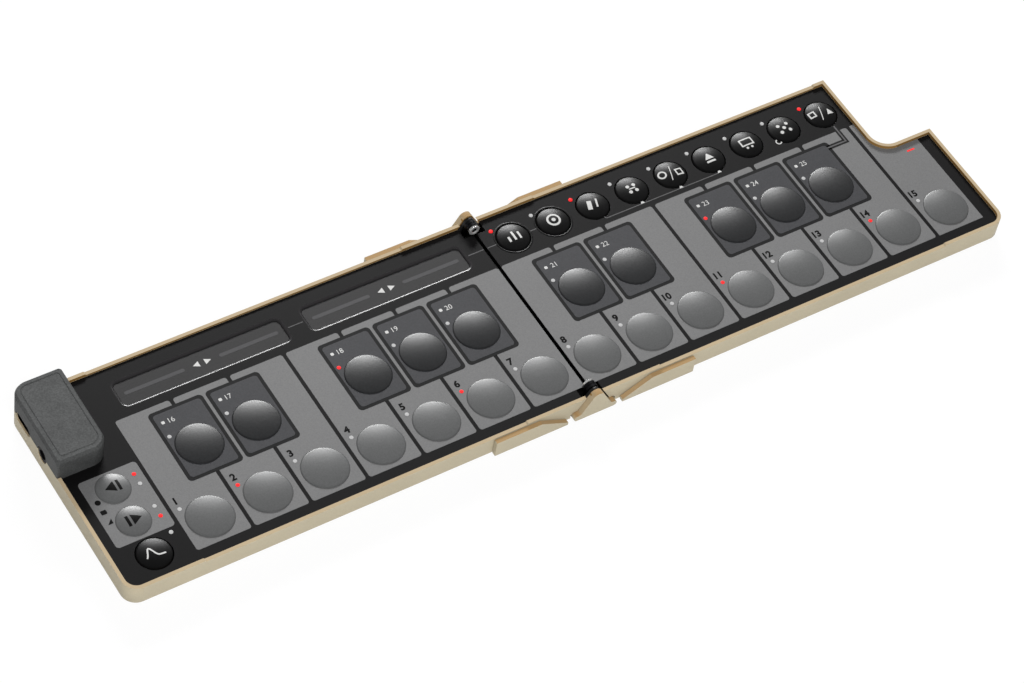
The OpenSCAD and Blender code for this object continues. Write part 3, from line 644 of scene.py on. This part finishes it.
naturals_on, sharps_on = {}, {}
for side, half in HALVES.items():
    keys = [k for k in range(1, NATURALS + 1) if half_of(naturals[k - 1, 0]) == half]
    raised = [k for k in range(1, SHARPS + 1) if half_of(sharps[k - 1, 0]) == half]
    add_print(f"{side}_natural_fields", joined([natural_field(k) for k in keys]), field_grey, half)
    add_print(f"{side}_sharp_edges", joined([sharp_edge(k) for k in raised]), outline_black, half)
    add_print(f"{side}_sharp_fields", joined([sharp_field(k) for k in raised]), field_slate, half)
    naturals_on[side], sharps_on[side] = keys, raised
    print(side, "fields", len(keys), "natural", len(raised), "sharp")

# %% [markdown]
# ## Lamps
#
# Beside every pad and button a light pipe ends in a small lens. Some are lit red. Each lens is a low
# turned dome on its pipe, and the lit and unlit ones are separate pieces because they differ in finish.

# %% Lamps
LAMP_R = 0.68
LAMP_DOME = 0.05
PIPE_FOOT = box_mm("left_lights")[0][2]
PAD_LAMP = np.array([-7.02, 6.38])
BUTTON_LAMP = np.array([-5.3, 5.45])
PANEL_LAMP = np.array([8.1, 1.96])
LOW_LAMP = np.array([PANEL_LAMP[0], BUTTON_LAMP[1] - 0.8])
LIT_NATURALS = (2, 6, 11, 14)
LIT_SHARPS = (3, 8)
LIT_TOPS = (1, 3, 9)


def lamp(place):
    """Light pipe with a low dome: the profile rises from the board and rounds over above the ink."""
    t = np.linspace(0, np.pi / 2, 7)
    dome = np.column_stack([LAMP_R * np.cos(t), ink_top(4) + LAMP_DOME * np.sin(t)])
    return turned(np.vstack([[[0, PIPE_FOOT], [LAMP_R, PIPE_FOOT]], dome]), place, 24)


lamps = [(naturals[k - 1, :2] + PAD_LAMP, k in LIT_NATURALS) for k in range(1, NATURALS + 1)]
lamps += [(sharps[k - 1, :2] + PAD_LAMP, k in LIT_SHARPS) for k in range(1, SHARPS + 1)]
lamps += [(tops[k - 1, :2] + BUTTON_LAMP, k in LIT_TOPS) for k in range(1, TOPS + 1)]
lamps += [(panels[0, :2] + PANEL_LAMP * [1, s], s > 0) for s in (1, -1)]
lamps += [(panels[1, :2] + PANEL_LAMP * [1, s], s < 0) for s in (1, -1)]
lamps += [(panels[2, :2] + LOW_LAMP, False)]
for side, half in HALVES.items():
    for lit, state, material in ((True, "lit", lamp_red), (False, "unlit", lamp_off)):
        chosen = [lamp(p) for p, on in lamps if on == lit and half_of(p[0]) == half]
        piece = add_piece(f"{side}_lamps_{state}", joined(chosen), material, half)
        if not lit:
            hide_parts(f"{side}_lights")
print("lamps", len(lamps))

# %% [markdown]
# ## Power lamp
#
# At the back of the last key a thin slot glows red when the power is on. It is a flat rounded bar,
# filled from its outline like a print, and stands a hair above the ink.

# %% Power lamp
POWER_AT = np.array([naturals[-1, 0] + 4.0, NOTCH[1] - 4.4])
POWER_SIZE = np.array([3.0, 0.6])
POWER_R = 0.25
bar_low, bar_high = POWER_AT - POWER_SIZE / 2, POWER_AT + POWER_SIZE / 2
power_bar = filled([rounded(bar_low[0], bar_high[0], bar_low[1], bar_high[1], POWER_R)], ink_top(2))
add_piece("power_lamp", power_bar, lamp_red, "right_half", False, INK)
print("power lamp at", POWER_AT)

# %% [markdown]
# ## Printed numbers
#
# Each natural key has its number in black ink behind its lamp, and each sharp key has one in white
# ink at the top left of its field, beside a small square. Text is turned into a flat mesh first and
# then laid on the plate.

# %% Numbers
CAPITAL_SHARE = 0.69


def lettering(text, height, bold):
    """Flat mesh of a text in Blender's own font, centred on the origin, with capitals of that height."""
    curve = bpy.data.curves.new("lettering", "FONT")
    curve.body = text
    curve.size = height / CAPITAL_SHARE
    curve.align_x = "CENTER"
    curve.align_y = "CENTER"
    curve.resolution_u = 4
    curve.offset = bold * height
    holder = bpy.data.objects.new("lettering", curve)
    mesh = bpy.data.meshes.new_from_object(holder)
    mesh.calc_loop_triangles()
    points = np.empty(len(mesh.vertices) * 3)
    corners = np.empty(len(mesh.loop_triangles) * 3, int)
    mesh.vertices.foreach_get("co", points)
    mesh.loop_triangles.foreach_get("vertices", corners)
    bpy.data.objects.remove(holder)
    bpy.data.curves.remove(curve)
    bpy.data.meshes.remove(mesh)
    points = points.reshape(-1, 3)
    return points - (points.max(0) + points.min(0)) / 2, corners.reshape(-1, 3).tolist()


def moved(mesh_arrays, place, z):
    """A flat mesh shifted to a place on the plate at height z."""
    points, faces = mesh_arrays
    return at_height(points[:, :2] + np.asarray(place)[:2], z), faces


NUMBER_H = 2.4
NUMBER_BOLD = 0.06
NUMBER_SHIFT = np.array([0.1, 3.2])
SHARP_NUMBER_H = 1.8
SHARP_LABEL = np.array([-3.4, 11.9])
SQUARE_HALF = 0.55
SQUARE_R = 0.3
SQUARE_SHIFT = np.array([2.9, 0])
square = filled([rounded(-SQUARE_HALF, SQUARE_HALF, -SQUARE_HALF, SQUARE_HALF, SQUARE_R)], 0)


def natural_number(k):
    """Number of natural key k, behind its lamp."""
    place = naturals[k - 1, :2] + PAD_LAMP + NUMBER_SHIFT
    return moved(lettering(str(k), NUMBER_H, NUMBER_BOLD), place, ink_top(2))


def sharp_number(k):
    """Number of sharp key k, counted on from the natural keys."""
    place = sharps[k - 1, :2] + SHARP_LABEL
    return moved(lettering(str(NATURALS + k), SHARP_NUMBER_H, 0.0), place, ink_top(4))


def sharp_square(k):
    """Small square to the left of sharp key k's number."""
    return moved(square, sharps[k - 1, :2] + SHARP_LABEL - SQUARE_SHIFT, ink_top(4))


for side, half in HALVES.items():
    numbers = [natural_number(k) for k in naturals_on[side]]
    labels = [sharp_number(k) for k in sharps_on[side]] + [sharp_square(k) for k in sharps_on[side]]
    add_print(f"{side}_natural_numbers", joined(numbers), black_ink, half)
    add_print(f"{side}_sharp_numbers", joined(labels), white_ink, half)
    print(side, "numbers", len(numbers), "black", len(sharps_on[side]), "white")

# %% [markdown]
# ## Panel at the left end
#
# Two grey buttons stand on a grey printed patch, with three small black marks beside them.

# %% Panel patch and marks
PATCH = (-160.4, naturals[0, 0] - PITCH / 2 - DIVIDER / 2, -23.2, 3.1)
PATCH_R = 1.2
MARK_X = -157.9
MARK_Y = (-5.8, -9.7, -13.5)
patch_holes = [circle(panels[k], BUTTON_HOLE_R) for k in (0, 1)]
patch = filled([rounded(*PATCH, PATCH_R)] + patch_holes, ink_top(1))
add_print("panel_patch", patch, field_grey, "left_half")
shapes = (
    [circle((0, 0), 0.95, 24), circle((0, 0), 0.5, 24)],
    [rounded(-0.95, 0.95, -0.8, 0.8, 0.3), rounded(-0.5, 0.5, -0.38, 0.38, 0.1)],
    [np.array([[-0.9, -0.9], [0.9, -0.9], [0.9, 0.9]])],
)
marks = [moved(filled(shape, 0), (MARK_X, y), ink_top(2)) for shape, y in zip(shapes, MARK_Y)]
add_print("panel_marks", joined(marks), black_ink, "left_half")
print("panel patch", PATCH)

# %% [markdown]
# ## Signs on the buttons
#
# Buttons carry small plain signs. A sign is a few strokes and dots drawn flat and then draped: each
# point takes the height of the cap under it, plus the thickness of the ink.

# %% Signs on the buttons
SIGN_LIFT = 0.025
TOP_SIGN_SCALE = 1.3
PANEL_SIGN_SCALE = 1.4


def rings_round(centre, radii, steps):
    """Flat grid of points: point (i, j) lies at radius j in the direction 2 pi i / steps from centre."""
    angle = np.linspace(0, 2 * np.pi, steps, endpoint=False)
    r, a = np.meshgrid(radii, angle, indexing="xy")
    x, y = centre[0] + r * np.cos(a), centre[1] + r * np.sin(a)
    return np.stack([x, y, 0 * x], -1).reshape(-1, 3), grid_faces(steps, len(radii), True).tolist()


def dot(centre, radius):
    """Round dot as rings of points about its centre."""
    return rings_round(centre, np.linspace(0, radius, 4), 20)


def ring(centre, radius, width):
    """Round line: a short cross-section carried round a circle."""
    return rings_round(centre, radius + width * np.linspace(-0.5, 0.5, 4), 36)


def frame_sign(x0, x1, y0, y1, width):
    """Outline of a box as one closed stroke."""
    return stroke([(x0, (y0 + y1) / 2), (x0, y1), (x1, y1), (x1, y0), (x0, y0), (x0, (y0 + y1) / 2)], width)


def draped(parts, scale, centre, radius):
    """Flat parts, scaled and laid on a cap: each point takes the cap's height at its distance from the
    axis."""
    points, faces = joined(parts)
    points = points * scale
    lift = cap_height(np.hypot(points[:, 0], points[:, 1]), radius) + SIGN_LIFT
    return np.column_stack([points[:, :2] + centre[:2], lift]), faces


slash = stroke([(-0.7, -2.2), (0.7, 2.2)], 0.25)
hump = np.linspace(0, 1, 24)
top_signs = [
    [stroke([(x, -1.4), (x, y)], 0.6) for x, y in ((-1.5, 0.2), (0, 1.4), (1.5, 0.8))],
    [ring((0, 0), 1.6, 0.55), dot((0, 0), 0.55)],
    [stroke([(-1.5, -1.3), (-0.6, 1.3)], 1.2), stroke([(0.6, -1.3), (1.5, 1.3)], 0.5)],
    [dot((x, y), 0.5) for x in (-0.9, 0.9) for y in (-0.9, 0.9)] + [stroke([(-0.9, 0), (0.9, 0)], 0.35)],
    [ring((-2.4, 0.4), 1.0, 0.45), slash, frame_sign(1.5, 3.2, -1.2, 0.5, 0.4)],
    [stroke([(0, 1.5), (0, -0.4)], 0.1, 2.6), stroke([(-1.3, -1.2), (1.3, -1.2)], 0.55)],
    [frame_sign(-1.7, 1.7, -0.7, 1.3, 0.4), dot((-0.7, -1.6), 0.35), dot((0.7, -1.6), 0.35)],
    [dot((x, y), 0.5) for x, y in ((0, 0), (-1.3, 1.1), (1.3, 1.1), (-1.3, -1.1), (1.3, -1.1))],
    [frame_sign(-3.3, -1.7, -0.3, 1.3, 0.4), slash, stroke([(2.4, 0.7), (2.4, -1.1)], 0.1, 1.9)],
]
panel_signs = [
    [stroke([(-1.9, 0), (0.4, 0)], 0.1, 2.8, across=6), stroke([(1.3, -1.4), (1.3, 1.4)], 0.7)],
    [stroke([(1.9, 0), (-0.4, 0)], 0.1, 2.8, across=6), stroke([(-1.3, -1.4), (-1.3, 1.4)], 0.7)],
    [stroke(np.column_stack([4.4 * hump - 2.2, 2.4 * np.exp(-(((hump - 0.3) / 0.19) ** 2)) - 1.1]), 0.36)],
]
for k in range(1, TOPS + 1):
    sign = draped(top_signs[k - 1], TOP_SIGN_SCALE, tops[k - 1], BUTTON_R)
    add_piece(f"top_sign_{k}", sign, white_ink, f"top_button_{k}_body", False)
for k in range(1, PANELS + 1):
    sign = draped(panel_signs[k - 1], PANEL_SIGN_SCALE, panels[k - 1], BUTTON_R)
    ink = black_ink if k < PANELS else white_ink
    add_piece(f"panel_sign_{k}", sign, ink, f"panel_button_{k}_body", False)
print("signs", len(top_signs) + len(panel_signs))

# %% [markdown]
# ## Touch strips
#
# Two touch strips lie sunk in the plate. The edge of the recess is rounded over, so it draws a bright
# line on the side that faces the light. Its profile is a quarter of an ellipse, carried round the
# rounded outline of the strip. Grey bars on the film show where the finger slides.

# %% Touch strips
strip_low, strip_high = box_mm("touch_strips")
STRIP_FIT = 0.03
STRIP_R = 2.6
STRIP_GAP = 6.5
STRIP_LEN = (strip_high[0] - strip_low[0] + 2 * STRIP_FIT - STRIP_GAP) / 2
STRIP_Y = (strip_low[1] + strip_high[1]) / 2
LIP_W = 0.9
LIP_TOP = PLATE_TOP + 0.01
strip_ends = [
    (strip_low[0] - STRIP_FIT, strip_low[0] - STRIP_FIT + STRIP_LEN),
    (strip_high[0] + STRIP_FIT - STRIP_LEN, strip_high[0] + STRIP_FIT),
]


def lip(x0, x1, y0, y1):
    """Rounded edge of a recess: ring j of the grid is the outline drawn in by LIP_W sin t, at a height
    that falls from the plate to the film by 1 - cos t."""
    t = np.linspace(0, np.pi / 2, ARC_STEPS)
    inset = LIP_W * np.sin(t)
    height = LIP_TOP - (LIP_TOP - strip_high[2]) * (1 - np.cos(t))
    return through_rings([rounded(x0 + i, x1 - i, y0 + i, y1 - i, STRIP_R - i) for i in inset], height)


half_strip = (strip_high[1] - strip_low[1]) / 2 + STRIP_FIT
lips = [lip(x0, x1, STRIP_Y - half_strip, STRIP_Y + half_strip) for x0, x1 in strip_ends]
add_piece("strip_lips", joined(lips), gloss_charcoal, "left_half")
BAR_W = 1.3
BAR_R = 0.6
BAR_NEAR = 3.0
BAR_LEN = 21.0
ARROW_TIP = 3.2
ARROW_FOOT = 1.0
ARROW_HALF = 1.1
film_top = strip_high[2] + INK
bars = []
arrows = []
for x0, x1 in strip_ends:
    for a, b in ((x0 + BAR_NEAR, x0 + BAR_NEAR + BAR_LEN), (x1 - BAR_NEAR - BAR_LEN, x1 - BAR_NEAR)):
        bars.append(filled([rounded(a, b, STRIP_Y - BAR_W / 2, STRIP_Y + BAR_W / 2, BAR_R)], film_top))
    for s in (-1, 1):
        wedge = np.array([[s * ARROW_TIP, 0], [s * ARROW_FOOT, -ARROW_HALF], [s * ARROW_FOOT, ARROW_HALF]])
        arrows.append(moved(filled([wedge], 0), ((x0 + x1) / 2, STRIP_Y), film_top))
add_piece("strip_bars", joined(bars), bar_grey, "left_half", False, INK)
add_piece("strip_signs", joined(arrows), white_ink, "left_half", False, INK)
print("strips", [tuple(np.round(e, 1)) for e in strip_ends])

# %% [markdown]
# ## Printed lines
#
# Thin grey lines join controls that belong together. They are strokes of even width: a straight one
# through the strips and the first buttons, a bracket under four buttons with small pointers, and a
# track from the last button round to the last sharp key.

# %% Printed lines
LINE_W = 0.3
STRIP_CLEAR = 0.6
HINGE_CLEAR = 0.2
BEAD_CLEAR = 0.3
BEAD_R = BUTTON_R + 0.6
BRACKET_Y = tops[0, 1] - 6.45
TRACK = [(135.9, 21.2), (135.9, 13.95), (128.2, 13.95)]
TRACK_W = 1.9
TRACK_CORE_W = 0.5


def laid(parts, z):
    """Flat parts joined and laid at one height."""
    points, faces = joined(parts)
    return at_height(points[:, :2], z), faces


line_y = tops[0, 1] - 0.1
gap_left, gap_right = strip_ends[0][1] + STRIP_CLEAR, strip_ends[1][0] - STRIP_CLEAR
hinge_left, hinge_right = box_mm("left_plate")[1][0], box_mm("right_plate")[0][0]
left_lines = [
    stroke([(gap_left, line_y), (gap_right, line_y)], LINE_W),
    stroke([(strip_ends[1][1] + STRIP_CLEAR, line_y), (hinge_left - HINGE_CLEAR, line_y)], LINE_W),
]
first, second, third, last = tops[0, 0], tops[1, 0], tops[2, 0], tops[5, 0]
bracket = [
    (third + 0.9, BRACKET_Y + 1.6), (third + 1.1, BRACKET_Y + 0.5),
    (third + 1.6, BRACKET_Y), (last - 0.2, BRACKET_Y),
]
right_lines = [
    stroke([(hinge_right + HINGE_CLEAR, line_y), (first - BEAD_R - BEAD_CLEAR, line_y)], LINE_W),
    stroke([(first + BEAD_R + BEAD_CLEAR, line_y), (second - BEAD_R - BEAD_CLEAR, line_y)], LINE_W),
    stroke(bracket, LINE_W),
]
add_print("left_lines", laid(left_lines, ink_top(1)), line_grey, "left_half")
add_print("right_lines", laid(right_lines, ink_top(1)), line_grey, "right_half")
add_print("track_edge", laid([stroke(TRACK, TRACK_W)], ink_top(2)), outline_black, "right_half")
add_print("track_core", laid([stroke(TRACK, TRACK_CORE_W)], ink_top(3)), line_grey, "right_half")
pointer = filled([np.array([[-0.75, -0.75], [0.75, -0.75], [0, 0.9]])], 0)
pointers = [moved(pointer, (tops[k, 0] + 0.4, BRACKET_Y + 0.75), ink_top(2)) for k in (3, 4, 5)]
pointers.append(moved(ring((0, 0), 0.95, 0.4), (tops[7, 0] - 4.6, tops[7, 1] - 3.8), ink_top(2)))
add_print("pointers", joined(pointers), white_ink, "right_half")
print("lines", len(left_lines) + len(right_lines), "pointers", len(pointers))

# %% [markdown]
# ## Beads round the first two buttons
#
# The first two buttons sit in a raised bead. It is a low half round turned about the button's axis.

# %% Beads
BEAD_W = 0.7
BEAD_H = 0.1
BEAD_FOOT = PLATE_TOP - 0.01


def bead(centre):
    """Half-round ring: the profile is half an ellipse on the plate, turned about the button's axis."""
    t = np.linspace(0, np.pi, ARC_STEPS)
    profile = np.column_stack([BEAD_R - BEAD_W / 2 * np.cos(t), BEAD_FOOT + BEAD_H * np.sin(t)])
    return turned(profile, centre, 72)


beads = joined([bead(tops[k]) for k in (0, 1)])
add_piece("button_beads", beads, button_black, "right_half")
print("beads at", BEAD_R)

# %% [markdown]
# ## Flex cable
#
# A flat film carries the signals across the hinge. It has to bend when the keyboard folds; here it is a
# finely cut ribbon that dips under the hinge line and rides on neither half.

# %% Flex cable
flex_low, flex_high = box_mm("flex_cable")
FLEX_T = 0.2
FLEX_BEND = 2.7
FLEX_RAMP = 1.8
flex_x = np.linspace(flex_low[0], flex_high[0], 57)
dip = np.clip((FLEX_BEND - np.abs(flex_x)) / FLEX_RAMP, 0, 1)
flex_z = flex_high[2] - FLEX_T / 2 - (flex_high[2] - flex_low[2] - FLEX_T) * (3 * dip**2 - 2 * dip**3)
flex_y = np.linspace(flex_low[1], flex_high[1], 7)


def ribbon(x, z):
    """Film as a closed grid: its thin rectangle of a section, carried along x at the height z of each
    point, so the film dips under the hinge line."""
    section_y = np.concatenate([flex_y, flex_y[::-1]])
    section_z = np.repeat([FLEX_T / 2, -FLEX_T / 2], len(flex_y))
    across = len(section_y)
    points = np.empty((across, len(x), 3))
    points[..., 0] = x
    points[..., 1] = section_y[:, None]
    points[..., 2] = z + section_z[:, None]
    near_end = np.arange(across) * len(x)
    ends = [near_end.tolist(), (near_end + len(x) - 1).tolist()]
    return points.reshape(-1, 3), grid_faces(across, len(x), True).tolist() + ends


flex = add_piece("flex_ribbon", ribbon(flex_x, flex_z), flex_black, None, False)
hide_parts("flex_cable")
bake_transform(flex)
print("flex cable", np.round(flex_high - flex_low, 1))

# %% [markdown]
# ## Hinge pins
#
# Each end of the hinge turns on a bright steel pin. The pin is turned on a lathe: a round-edged head
# with a bore, and a plain shank. The profile is turned about an axis that lies along the keyboard's
# depth. The shade in the narrow bore is painted: the colour turns black nearer to the axis than the
# bore's edge.

# %% Hinge pins
pins_low, pins_high = box_mm("hinge_pins")
AXIS_Z = (pins_low[2] + pins_high[2]) / 2
HEAD_R = (pins_high[0] - pins_low[0]) / 2
HEAD_H = 0.8
HEAD_Y = 34.4
SHANK_R = 1.2
SHANK_LEN = pins_high[1] - HEAD_Y
RIM_R = 0.26 * HEAD_R
RIM_H = 0.3
BORE_R = 0.46 * HEAD_R
BORE_TOP = 0.4
BORE_DEPTH = 1.8
BORE_EDGE = BORE_R + 0.03
BORE_SHADE_BLACK = (0.004, 0.004, 0.004)


def pin(side):
    """One pin: profile (radius, distance from the head's face) turned about the hinge axis; side is the
    sign of y."""
    t = np.linspace(0, np.pi, 13)
    rim = np.column_stack([HEAD_R - RIM_R * (1 + np.cos(t)), RIM_H * (1 - np.sin(t))])
    profile = np.vstack([
        [[0, SHANK_LEN], [SHANK_R, SHANK_LEN], [SHANK_R, HEAD_H], [HEAD_R, HEAD_H]],
        rim, [[BORE_R, BORE_TOP], [BORE_R, BORE_DEPTH], [0, BORE_DEPTH]],
    ])
    points, faces = turned(profile, (0, 0), 48)
    return np.column_stack([points[:, 0], side * (HEAD_Y + points[:, 2]), AXIS_Z + points[:, 1]]), faces


def pin_finish(name):
    """Bright steel with painted shade in its bore: black where the distance from the hinge axis is less
    than the bore's edge.
    """
    material = metal_finish(name, (0.82, 0.82, 0.81), 0.2, 0.15, 0.7)
    tree = material.node_tree
    shader = tree.nodes["Principled BSDF"]
    bright = shader.inputs["Base Color"].links[0].from_socket
    flat = new_node(tree, "VectorMath", {1: (1, 0, 1)})
    flat.operation = "MULTIPLY"
    away = new_node(tree, "VectorMath", {1: (0, 0, AXIS_Z * MM)})
    away.operation = "DISTANCE"
    tree.links.new(tree.nodes["Texture Coordinate"].outputs["Object"], flat.inputs[0])
    tree.links.new(flat.outputs["Vector"], away.inputs[0])
    # Painted shade: the bore turns black
    inside = math_node(tree, "LESS_THAN", away.outputs["Value"], BORE_EDGE * MM)
    tree.links.new(blended(tree, inside, bright, BORE_SHADE_BLACK), shader.inputs["Base Color"])
    return material


pin_steel = pin_finish("pin_steel")
pins = add_piece("hinge_pin_pair", joined([pin(1), pin(-1)]), pin_steel, "hinge_spine")
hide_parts("hinge_pins")
print("pins on the axis at", AXIS_Z, "head radius", HEAD_R)

# %% [markdown]
# ## Line round the housing's top
#
# A soft line runs round the top of the connector housing. It is a shallow hollow: each ring of the
# surface is the outline of the housing drawn in a little more, and its depth follows a sine.

# %% Housing line
housing_low, housing_high = box_mm("connector_housing")
LINE_IN = (1.66, 2.24)
LINE_DEPTH = 0.2
LINE_SINK = 0.01
HOUSING_R = 5.0
SMALL_R = 0.8


def housing_ring(inset):
    """Outline of the housing drawn in by inset, with its two large and two small corners."""
    large = HOUSING_R - inset
    return rounded(
        housing_low[0] + inset, housing_high[0] - inset, housing_low[1] + inset, housing_high[1] - inset,
        (SMALL_R, large, SMALL_R, large),
    )


def housing_line():
    """Hollow line: ring j lies at the share s of the way between the two insets, sunk by a hair and
    LINE_DEPTH sin(pi s)."""
    s = np.linspace(0, 1, ARC_STEPS)
    insets = LINE_IN[0] + (LINE_IN[1] - LINE_IN[0]) * s
    depths = LINE_SINK + LINE_DEPTH * np.sin(np.pi * s)
    return through_rings([housing_ring(i) for i in insets], housing_high[2] - depths)


add_piece("housing_line", housing_line(), housing_grey, "left_half")
print("housing line", LINE_IN)

# %% [markdown]
# ## Camera
#
# The photograph was taken from the front left, a little more than halfway up from the table to
# straight above, with a long lens and the camera rolled. The three angles, the place and the focal
# length were fitted to the pads.

# %% Camera
IMAGE_W = 1024
SENSOR_W = 36
FOCAL_PX = 3381
ELEVATION = 51.55
AZIMUTH = 40.70
ROLL = 11.49
CAMERA_AT = Vector((-0.4483, -0.5160, 0.8487))
lens = bpy.data.cameras.new("photo_camera")
lens.sensor_width = SENSOR_W
lens.lens = FOCAL_PX * SENSOR_W / IMAGE_W
camera = bpy.data.objects.new("photo_camera", lens)
heading = Matrix.Rotation(math.radians(-AZIMUTH), 4, "Z")
tilt = Matrix.Rotation(math.radians(90 - ELEVATION), 4, "X")
roll = Matrix.Rotation(math.radians(ROLL), 4, "Z")
camera.matrix_world = Matrix.Translation(CAMERA_AT) @ heading @ tilt @ roll
bpy.context.scene.collection.objects.link(camera)
bpy.context.scene.camera = camera
print("lens", round(lens.lens, 1), "mm")

# %% [markdown]
# ## Floor
#
# The keyboard lies on white paper. The paper is a pale diffuse sheet that keeps the shadow; where the
# camera or a mirror-like ray meets it, most of it is replaced by plain white, so the background is
# white without more light on the object.

# %% Floor
FLOOR_HALF = 6
FLOOR_Z = -0.0003
PAPER_TONE = 0.85
PAPER_ROUGHNESS = 0.9
WHITE_SHARE = 0.9
scene = bpy.context.scene
scene.view_settings.view_transform = "Standard"
floor_corners = [(FLOOR_HALF * x, FLOOR_HALF * y, FLOOR_Z) for x, y in ((-1, -1), (1, -1), (1, 1), (-1, 1))]
floor_mesh = bpy.data.meshes.new("floor")
floor_mesh.from_pydata(floor_corners, [], [(0, 1, 2, 3)])
floor = bpy.data.objects.new("floor", floor_mesh)
scene.collection.objects.link(floor)
paper = bpy.data.materials.new("paper")
paper.use_nodes = True
paper_tree = paper.node_tree
paper_shader = paper_tree.nodes["Principled BSDF"]
paper_shader.inputs["Base Color"].default_value = (PAPER_TONE, PAPER_TONE, PAPER_TONE, 1)
paper_shader.inputs["Roughness"].default_value = PAPER_ROUGHNESS
white = paper_tree.nodes.new("ShaderNodeEmission")
ray = paper_tree.nodes.new("ShaderNodeLightPath").outputs
mirrored = math_node(paper_tree, "MAXIMUM", ray["Is Glossy Ray"], ray["Is Transmission Ray"])
seen = math_node(paper_tree, "MAXIMUM", ray["Is Camera Ray"], mirrored)
cover = paper_tree.nodes.new("ShaderNodeMixShader")
paper_tree.links.new(math_node(paper_tree, "MULTIPLY", seen, WHITE_SHARE), cover.inputs[0])
paper_tree.links.new(paper_shader.outputs[0], cover.inputs[1])
paper_tree.links.new(white.outputs[0], cover.inputs[2])
paper_tree.links.new(cover.outputs[0], paper_tree.nodes["Material Output"].inputs["Surface"])
floor_mesh.materials.append(paper)
print("floor at", FLOOR_Z)

# %% [markdown]
# ## Light
#
# A plain studio: an even sky, a wide soft lamp far behind on the right, which draws the bright back
# edges of the pads, and a larger soft lamp above the front left, which fills the front. The front lamp
# is kept out of reflections, so it leaves no bright arcs on the fronts of the pads.

# %% Light
SKY_LEVEL = 0.22
BACK_LAMP = dict(place=(0.94, 1.971, 0.995), size=(1.1, 0.4), power=60)
FRONT_LAMP = dict(place=(-0.43, -0.94, 1.48), size=(1.0, 0.8), power=30)
world = bpy.data.worlds.new("studio")
scene.world = world
world.use_nodes = True
background = world.node_tree.nodes["Background"]
background.inputs["Color"].default_value = (1, 1, 1, 1)
background.inputs["Strength"].default_value = SKY_LEVEL


def soft_lamp(name, place, size, power):
    """Rectangular area lamp at place, facing the origin."""
    data = bpy.data.lights.new(name, "AREA")
    data.shape = "RECTANGLE"
    data.size, data.size_y = size
    data.energy = power
    holder = bpy.data.objects.new(name, data)
    holder.location = place
    holder.rotation_euler = (-Vector(place)).to_track_quat("-Z", "Y").to_euler()
    scene.collection.objects.link(holder)
    return holder


back_lamp = soft_lamp("back_lamp", **BACK_LAMP)
front_lamp = soft_lamp("front_lamp", **FRONT_LAMP)
front_lamp.visible_glossy = False
print("lamps", back_lamp.name, front_lamp.name, "sky", SKY_LEVEL)
